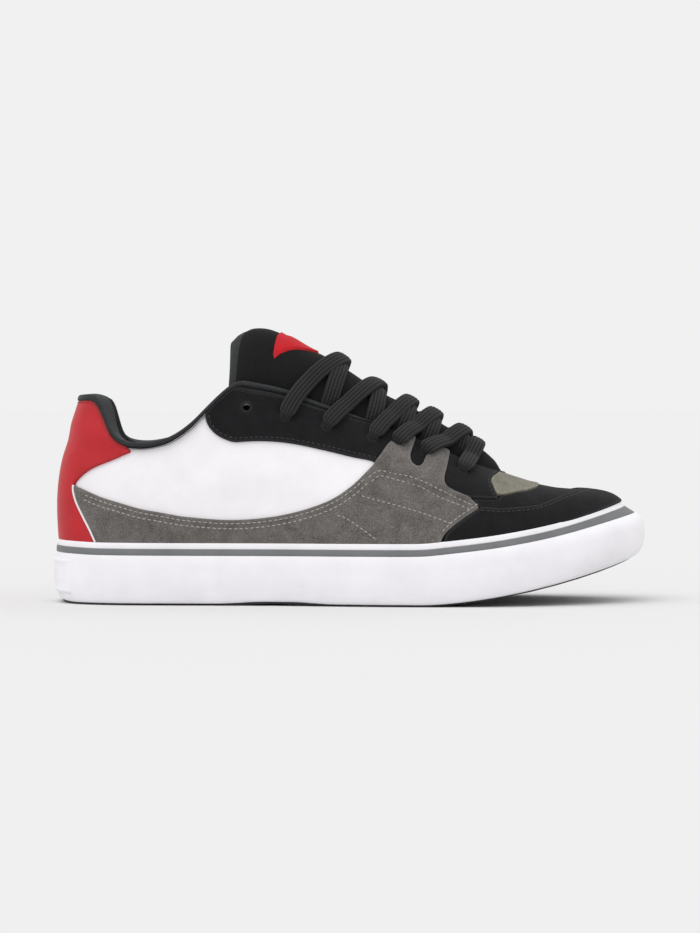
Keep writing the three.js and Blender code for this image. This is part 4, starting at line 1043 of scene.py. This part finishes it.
def make_overlays():
    seam = lambda other: -other - SEAM
    counter = np.minimum.reduce([COUNTER_FIELD, seam(SADDLE_FIELD), LAYER_OPEN])
    panel("counter_panel", counter, (-8, 8), TOP_OF_OVERLAY, RED_LEATHER, ("counter",), 0.5,
          crown=0.25)
    step = TOP_OF_OVERLAY + tab_lift(EYESTAY_FIELD)
    for side, word, span in ((-1, "outer", (0, TOE)), (1, "inner", (TOE, AROUND))):
        saddle = one_side(np.minimum(SADDLE_FIELD, LAYER_OPEN), side)
        panel(f"saddle_panel_{word}", saddle, span, step, GREY_SUEDE, (f"saddle_{word}",),
              0.55, 0.5, 0.2)
        eyestay = one_side(np.minimum(EYESTAY_FIELD, LAYER_OPEN), side)
        panel(f"eyestay_panel_{word}", eyestay, span, TOP_OF_OVERLAY, BLACK_SUEDE,
              (f"eyestay_{word}",), 0.6, WALL + 0.2, 0.3)
    patch = np.minimum.reduce([PATCH_FIELD, seam(EYESTAY_FIELD), LAYER_OPEN])
    panel("vamp_patch_panel", patch, (8, 20), TOP_OF_OVERLAY, OLIVE_SUEDE, ("vamp_patch",),
          0.5, WALL)
    toe = np.minimum.reduce([TOE_FIELD, seam(SADDLE_FIELD), LAYER_OPEN])
    panel("toe_guard_panel", toe, (8, 20), TOP_OF_OVERLAY + 0.15, BLACK_SUEDE,
          ("toe_guard",), 0.6, crown=0.3)
    vamp = np.minimum.reduce([outline_field(VAMP), seam(SADDLE_FIELD), seam(EYESTAY_FIELD), seam(PATCH_FIELD),
                              0.6 - TOE_FIELD, LAYER_OPEN])
    panel("vamp_panel", vamp, (8, 20), TOP_OF_OVERLAY - 0.75, BLACK_SUEDE, ("vamp",), 0.4)


make_upper()
make_overlays()


def edge_turn(around):
    """Turn of the upper's top edge: the collar's edge, then the throat's."""
    collar = turn_at(around, collar_height)
    at = at_of(bare(around, collar)[..., 0])
    throat = turn_off(around, throat_half(at) * BALL_WIDTH)
    return np.where(at < 0.15, collar, np.minimum(collar, throat))


ROLL_SECTION = [(0, -0.16), (0.55, -0.16), (0.86, 0.05), (1, 0.35), (0.97, 0.72), (0.6, 1)]
LINING_SECTION = [(0.15, 1.05), (0.5, 0.9), (0.85, 0.5), (1, 0.25)]
COLLAR_END = 7.6


def make_collar():
    reach = np.arange(-COLLAR_END, COLLAR_END + 1e-6, 0.06)
    loop = (reach + AROUND) % AROUND
    turn = edge_turn(loop)
    soften(turn, 3)
    rise = np.linalg.norm(bare(loop, turn + 0.01) - bare(loop, turn - 0.01), axis=-1) / 0.02
    slim = smooth((np.abs(reach) - 3.4) / 1.3)
    end = smooth((COLLAR_END - np.abs(reach)) / 0.8)
    pad = mix(COLLAR_PAD, 0.5, slim) * mix(0.5, 1, end)
    deep = mix(COLLAR_DEPTH, 4, slim)
    roll = mix(COLLAR_ROLL, 2.5, smooth((np.abs(reach) - 1.2) / 2)) * mix(0.1, 1, end)
    outside = -TOP_OF_OVERLAY + 0.1
    rings = []

    def at(up, inset):
        rings.append(skin(loop, np.clip(turn + up / rise, 0.01, 0.98), -inset))

    for up, inward in ROLL_SECTION:
        at(GAP + up * roll, mix(outside, WALL + GAP + pad, max(0, inward)) - (0.5 if inward < 0 else 0))
    for down, inward in LINING_SECTION:
        at(-down * deep, WALL + GAP + inward * pad)
    for down, inward in ((1, 1.9), (0.6, 1.5), (0.2, 1.1), (0.03, 0.3)):
        at(-down * deep, np.full_like(pad, inward))
    fine = [spline(*(rings[(i + k) % len(rings)] for k in (-1, 0, 1, 2)), t)
            for i in range(len(rings)) for t in np.arange(4) / 4]
    rows, n = len(fine), len(reach)
    faces = closed_strip(rows, n)
    faces += [[k * n for k in range(rows)], [k * n + n - 1 for k in reversed(range(rows))]]
    piece = mesh_of("collar_pad", np.vstack(fine), faces, COLLAR_CLOTH, ("collar",))
    piece.data.materials.append(LINING_CLOTH)
    first = 4 * len(ROLL_SECTION) - 3
    for k, face in enumerate(piece.data.polygons):
        face.material_index = 1 if first <= k // (n - 1) < rows - 5 else 0


make_collar()


# Tongue

SEAT = WALL + GAP


def throat_width(at, inset=0.0):
    round_ = np.clip((at - THROAT_ROUND_AT) / (THROAT_FRONT_AT - inset / LENGTH - THROAT_ROUND_AT), 0, 1)
    return (throat_half(at) * BALL_WIDTH - inset) * np.sqrt(1 - round_ ** 2)


def tongue_off(p):
    x, y = p[..., 0], p[..., 1]
    at = at_of(x)
    seat = SEAT + 2.2 * smooth((COLLAR_FRONT_AT + 0.06 - at) / 0.06)
    half = np.maximum(1e-6, throat_width(at, 1.0))
    across = np.clip(np.abs(y - throat_middle(at)) / half, 0, 1)
    slope = (crown_height(x + 1) - crown_height(x - 1)) / 2
    lift = (level(at, crest_up(at)) - crown_height(x)) / np.hypot(1, slope)
    return mix(-seat, lift, (1 - across ** 2.2) ** 0.8)


TONGUE_BACK, TONGUE_FRONT, WING_TURN = 4.87, 10.45, 0.42
TONGUE_BINDING = 3.4


def make_tongue():
    rows = np.concatenate([np.linspace(TONGUE_BACK, TONGUE_BACK + 0.5, 13)[:-1],
                           np.linspace(TONGUE_BACK + 0.5, TONGUE_FRONT, 84)])
    cols = np.linspace(-1, 1, 61)
    row_at = at_of(bare(rows, 1.0)[:, 0])
    wide = np.maximum(throat_width(row_at), 6) + TONGUE_WING
    points, under = [], []
    distance = distances(bare(rows, 1.0))
    close = np.sqrt(1 - (1 - np.clip(distance / 6.5, 0, 1)) ** 2)
    for c in cols:
        around = rows if c < 0 else (AROUND - rows)
        edge = np.maximum(WING_TURN, turn_off(around, wide))
        turn = mix(1, edge, abs(c))
        p = bare(around, turn)
        thick = tongue_fill(at_of(p[:, 0])) * TONGUE_PAD * (1 - 0.5 * c * c)
        rim = np.sqrt(np.clip(1 - ((abs(c) - 0.9) / 0.1) ** 2, 0, 1)) if abs(c) > 0.9 else 1.0
        face = tongue_off(p)
        quilt = -0.9 * np.exp(-((distance - 21) / 1.1) ** 2) * smooth((1 - abs(c)) / 0.1)
        puff = 0.7 * np.exp(-((distance - 12) / 7) ** 2) * (1 - c * c)
        puff = puff - 0.35 * np.exp(-((distance - TONGUE_BINDING) / 0.7) ** 2)
        middle = face - thick / 2
        half = thick / 2 * close * max(rim, 0.12)
        points.append(p + normal(around, turn) * (middle + half + quilt + puff)[:, None])
        under.append(p + normal(around, turn) * (middle - half)[:, None])
    n = len(rows)
    ring = points + under[::-1]
    piece = mesh_of("tongue_pad", np.vstack(ring), flipped(closed_strip(len(ring), n)), TONGUE_CLOTH,
                    ("tongue",))
    piece.data.materials.append(COLLAR_CLOTH)
    bound = int(np.argmax(distance > TONGUE_BINDING))
    for k, face in enumerate(piece.data.polygons):
        face.material_index = 1 if k % (n - 1) < bound else 0
    return piece


TONGUE = make_tongue()


def tree_of(piece):
    mesh = piece.data
    return BVHTree.FromPolygons([v.co[:] for v in mesh.vertices], [p.vertices[:] for p in mesh.polygons])


TONGUE_TREE = tree_of(TONGUE)


def on_tongue(x, y):
    """The tongue's face and its normal above a place in plan, in millimetres."""
    hit, up, _, _ = TONGUE_TREE.ray_cast(Vector((x / 1000, y / 1000, 0.3)), Vector((0, 0, -1)))
    if hit is None:
        return None
    return np.array(hit) * 1000, np.array(up)


def make_label():
    back, long, wide, tip = float(x_of(PATCH_BACK_AT)), 20.0, 17.0, 1.5
    points = []
    for t in np.linspace(0, 1, 25):
        for s in np.linspace(-1, 1, 31):
            half = mix(wide, tip, t ** 1.5)
            hit, up = on_tongue(back + long * t - 3.2 * abs(s) * (1 - t), s * half)
            edge = min(t, 1 - t) * long, (1 - abs(s)) * half
            rise = 0.9 * math.sqrt(1 - (1 - min(1, min(edge) / 0.8)) ** 2)
            up = up if up[2] > 0 else -up
            points.append(hit + up * (rise + 0.1) - (np.array([0, 0, 0.5]) if min(edge) < 1e-6 else 0))
    mesh_of("tongue_label", np.array(points), flipped(strip_faces(25, 31)), LABEL_CLOTH,
            ("tongue_patch",))


make_label()


# Laces

TABS_FROM_AT, TABS_TO_AT, TABS_EASE = 0.545, 0.69, 0.02
HOLE_CLEAR = 4.6
SHAFT_BELOW, SHAFT_ABOVE = 5.5, 0.6
PINCHED_WIDTH, PINCHED_THICK = 4.1, 3.9


def plunge(line, ups, wide, tall, centre, axis):
    """Joins the start of a strand to the hole that it comes up through."""
    start = int(np.argmax(np.linalg.norm(line - centre, axis=1) > HOLE_CLEAR))
    stop, along = line[start], unit(line[start + 1] - line[start])
    a, b = centre - axis * SHAFT_BELOW, centre + axis * SHAFT_ABOVE
    shaft = mix(a, b, np.linspace(0, 1, 8)[:, None])
    q = np.linspace(0, 1, 11)[1:-1, None]
    c1, c2 = b + axis * 3.4, stop - along * 2.2
    bend = (1 - q) ** 3 * b + 3 * (1 - q) ** 2 * q * c1 + 3 * (1 - q) * q * q * c2 + q ** 3 * stop
    lead = np.vstack([shaft, bend])
    n = len(lead)
    reach = smooth(np.linspace(-0.62, 0.85, n))
    way = unit(np.gradient(lead, axis=0))
    flat = unit(np.cross(way, np.cross(ups[start], along)))
    flat = flat * np.sign((flat * mix(-along, ups[start], 0.5)).sum(1, keepdims=True))
    lead_ups = unit(mix(flat, ups[start], smooth(np.linspace(-0.2, 1, n))[:, None]))
    return (np.vstack([lead, line[start:]]), np.vstack([lead_ups, ups[start:]]),
            np.concatenate([mix(PINCHED_WIDTH, LACE_WIDTH, reach), wide[start:]]),
            np.concatenate([mix(PINCHED_THICK, LACE_THICK, reach), tall[start:]]))


def lace_path(side, i, j, over):
    """One crossing: up through an eyelet, over the facing and the tongue, and under the other facing.
    Where both eyelets are a pair, it is the bar, and goes down through the second."""
    first, last = ([v[k] for v in EYELET_AT[s]] for s, k in ((side, i), (-side, j)))
    row_of = lambda around: min(around, AROUND - around)
    bar = i == j
    t = np.linspace(0, 1, 90)
    row = mix(row_of(first[0]), row_of(last[0]), t) + 0.22 * np.sin(np.pi * t)
    starting = t < 0.5
    turn = mix(1, np.where(starting, first[1], last[1]), np.abs(2 * t - 1) ** 0.92)
    around = np.where(starting == (side < 0), row, AROUND - row)
    base, up = bare(around, turn), normal(around, turn)
    at = at_of(base[:, 0])
    on_tab = smooth((at - TABS_FROM_AT) / TABS_EASE) * smooth((TABS_TO_AT - at) / TABS_EASE)
    rest = TOP_OF_OVERLAY + 0.35 + TAB_LIFT * on_tab
    across = np.abs(base[:, 1] - throat_middle(at)) / np.maximum(1, throat_width(at, 1.0))
    cross = np.exp(-((t - 0.5) / 0.16) ** 2)
    face = tongue_off(base) + 0.2 + over * cross
    facing = rest + LACE_THICK / 2
    free = face + LACE_THICK / 2
    if bar:
        off = np.maximum(facing, free)
    else:
        off = np.where(starting, np.maximum(facing, free), free)
        start, over_edge = (0.55, 0.25) if j == len(EYELETS) - 1 else (0.84, 0.2)
        dive = smooth((across - start) / over_edge) * (t > 0.5)
        off = mix(off, -SEAT - LACE_THICK / 2 + 0.4, dive)
    soften(off, 6)
    keep = bar | starting | (across < 1.35)
    line, ups = (base + up * off[:, None])[keep], up[keep]
    wide, tall = np.full(len(line), LACE_WIDTH), np.full(len(line), LACE_THICK)

    line, ups, wide, tall = plunge(line, ups, wide, tall, bare(*first), normal(*first))
    if bar:
        parts = [a[::-1] for a in (line, ups, wide, tall)]
        parts = plunge(*parts, bare(*last), normal(*last))
        line, ups, wide, tall = [a[::-1] for a in parts]
    soften(line, 3)
    for _ in range(3):
        ups[1:-1] = unit((ups[:-2] + 2 * ups[1:-1] + ups[2:]) / 4)
    gaps = distances(line)
    marks = np.linspace(0, gaps[-1], int(gaps[-1] / 0.9))
    return (resampled(line, gaps, marks), resampled(ups, gaps, marks), np.interp(marks, gaps, wide),
            np.interp(marks, gaps, tall))


def make_laces():
    last = len(EYELETS) - 1
    strands = [(-1, last, last, 0.2)]
    for i in range(1, last):
        strands.append((-1, i, i + 1, 1.9))
        strands.append((1, i, i + 1, -1.2))
    verts, faces, uv = joined([tube(*lace_path(*strand), 40, 5, 0.16) for strand in strands])
    mesh_of("lacing", verts, flipped(faces), LACE_BRAID, ("laces",), uv=uv)


make_laces()


# Stitches, piping and hole rims

STITCH_RANDOM = np.random.default_rng(7)


def stitches(name, lines, material, long=2.3, pitch=3.0, thick=0.62):
    """Separate stitches along lines on the upper: each line is its points and normals."""
    angle = np.arange(6) / 6 * 2 * np.pi
    stops = [(-1, 0.25), (-0.72, 0.8), (0, 1), (0.72, 0.8), (1, 0.25)]
    points, faces = [], []
    for line, ups in lines:
        both = spaced(np.hstack([line, ups]), pitch)
        centres, up = both[:, :3], unit(both[:, 3:])
        along = unit(np.gradient(centres, axis=0))
        for p, n, a in zip(centres, up, along):
            b = unit(np.cross(n, a))
            a = unit(a + b * STITCH_RANDOM.normal(0, 0.05))
            base = len(points)
            for s, r in stops:
                lift = 0.12 - 0.3 * s * s
                for g in angle:
                    points.append(p + a * s * long / 2 + b * math.cos(g) * r * thick / 2
                                  + n * (math.sin(g) * r * thick * 0.42 + lift))
            faces += [tuple(base + v for v in face) for face in strip_faces(len(stops), 6, True)]
            faces.append([base + g for g in range(6)][::-1])
            faces.append([base + 24 + g for g in range(6)])
    return mesh_of(name, points, flipped(faces), material)


def seam_line(rows, side, by=0.0, proud=0.1, tabbed=False):
    """Points and normals of a seam on the overlays, from a line seen from the side."""
    around, turn = place_of(side_line(rows, 1.0, by), side)
    lift = tab_lift(sample(EYESTAY_FIELD, around, turn)) if tabbed else 0
    return skin(around, turn, TOP_OF_OVERLAY + lift + proud), normal(around, turn)


BROW = [(0.53, 0.43), (0.5485, 0.5), (0.582, 0.521), (0.617, 0.54), (0.653, 0.505), (0.686, 0.474),
        (0.701, 0.446)]
MIDDLE = [(0.518, 0.3), (0.582, 0.275), (0.629, 0.248), (0.668, 0.172)]
FLANK = [(0.478, 0.157), (0.494, 0.142), (0.5226, 0.072), (0.544, 0.006)]

# The saddle's rows of pale thread, each with how far from its line it runs
PALE_ROWS = [(SADDLE_TOP[1:-4], 1.9), (SADDLE_TOP[1:-4], 4.4), (SADDLE_FRONT[:-1], 1.9),
             (BROW, 0), (BROW, 2.4), (MIDDLE, 0), (FLANK, 0)]


def make_stitches():
    pale, dark = [], []
    for side in (-1, 1):
        pale += [seam_line(rows, side, by, tabbed=True) for rows, by in PALE_ROWS]
        dark.append(seam_line(EYESTAY_FOOT[1:-5], side, -1.8))
        dark.append(seam_line(TOE_EDGE[4:-1], side, 1.8, 0.25))
        dark.append(seam_line(EYESTAY_FRONT[:-2], side, -1.7))
    stitches("saddle_stitches", pale, PALE_THREAD, 2.0, 2.7, 0.6)
    stitches("suede_stitches", dark, DARK_THREAD, 1.9, 2.6, 0.5)


def make_piping():
    parts = []
    for side in (-1, 1):
        line = side_line(COUNTER_FRONT[:-1] + [(0.079, -0.02)], 1.0)
        around, turn = place_of(line, side)
        parts.append(tube(skin(around, turn, TOP_OF_OVERLAY - 0.1), normal(around, turn), 1.1, 1.1, 8))
    verts, faces, uv = joined(parts)
    mesh_of("counter_piping", verts, flipped(faces), WHITE_LEATHER, (), uv=uv)


def make_hole_rims():
    parts, walls = [], []
    for side, i in HOLES:
        centre = HOLE_CENTRES[(side, i)]
        place = [v[i:i + 1] for v in EYELET_AT[side]]
        axis = normal(*place)[0]
        a = unit(np.cross(axis, [0, 0, 1.0]))
        b = np.cross(axis, a)
        on_saddle = sample(SADDLE_FIELD, *place)[0] > 0
        top = TOP_OF_OVERLAY + (float(tab_lift(sample(EYESTAY_FIELD, *place)[0])) if on_saddle else 0)
        angle = np.linspace(0, 2 * np.pi, 28, endpoint=False)[:, None]
        spoke = a * np.cos(angle) + b * np.sin(angle)
        ring = centre + axis * (top + 0.02) + spoke * (EYELET_HOLE / 2 + 0.05)
        parts.append(tube(ring, np.tile(axis, (28, 1)), 1.1, 0.7, 8, closed=True))
        rows = [centre + axis * h + spoke * (EYELET_HOLE / 2 - 0.15) for h in (top, 0.6, -0.6, -WALL - 0.3)]
        walls.append((np.vstack(rows), strip_faces(4, 28, True), np.zeros((112, 2))))
    verts, faces, uv = joined(parts)
    mesh_of("hole_rims", verts, faces, BLACK_SUEDE, (), uv=uv)
    verts, faces, uv = joined(walls)
    mesh_of("hole_walls", verts, faces, WHITE_LEATHER, (), uv=uv)


make_stitches()
make_piping()
make_hole_rims()


# Stage

FLOOR_HALF, FLOOR_DROP = 9000, 0.05
STUDIO_GREY = 0.879
SUNS = (("key", 0.75, 50, (0.35, 0.55, -1.0)), ("top", 0.3, 90, (-0.2, -0.1, -1.0)))
DISTANCE, ELEVATION, AIM = 1.8, math.radians(1.5), Vector((0.0, 0.0, 0.068))
SENSOR, FOCAL_PIXELS, PHOTO_TALL = 36, 3555, 933


def make_stage():
    corners = [(x / 1000, y / 1000, -FLOOR_DROP / 1000) for x, y in (
        (-FLOOR_HALF, -FLOOR_HALF), (FLOOR_HALF, -FLOOR_HALF), (FLOOR_HALF, FLOOR_HALF),
        (-FLOOR_HALF, FLOOR_HALF))]
    mesh = bpy.data.meshes.new("floor")
    mesh.from_pydata(corners, [], [(0, 1, 2, 3)])
    s = Shader("floor_paper", 0.9, Specular_IOR_Level=0.0)
    s.colour(s.ramp(s.noise(3, 2), (0.2, (0.74, 0.74, 0.74, 1)), (0.8, (0.746, 0.746, 0.746, 1))))
    mesh.materials.append(s.material)
    floor = bpy.data.objects.new("floor", mesh)
    bpy.context.scene.collection.objects.link(floor)
    world = bpy.data.worlds.new("studio")
    bpy.context.scene.world = world
    world.use_nodes = True
    background = world.node_tree.nodes["Background"].inputs
    background["Color"].default_value = (STUDIO_GREY, STUDIO_GREY, STUDIO_GREY, 1)
    background["Strength"].default_value = 1.0
    for name, strength, soft, direction in SUNS:
        light = bpy.data.lights.new(name, "SUN")
        light.energy = strength
        light.angle = math.radians(soft)
        lamp = bpy.data.objects.new(name, light)
        lamp.rotation_mode = "QUATERNION"
        lamp.rotation_quaternion = Vector(direction).to_track_quat("-Z", "Y")
        bpy.context.scene.collection.objects.link(lamp)


def make_camera():
    camera = bpy.data.cameras.new("camera")
    camera.sensor_width = SENSOR
    camera.lens = SENSOR * FOCAL_PIXELS / PHOTO_TALL
    camera.clip_start, camera.clip_end = 0.05, 60
    eye = bpy.data.objects.new("camera", camera)
    eye.location = AIM + Vector((0, -math.cos(ELEVATION), math.sin(ELEVATION))) * DISTANCE
    eye.rotation_mode = "QUATERNION"
    eye.rotation_quaternion = (AIM - eye.location).to_track_quat("-Z", "Y")
    bpy.context.scene.collection.objects.link(eye)
    bpy.context.scene.camera = eye
    bpy.context.scene.view_settings.view_transform = "Standard"


make_stage()
make_camera()
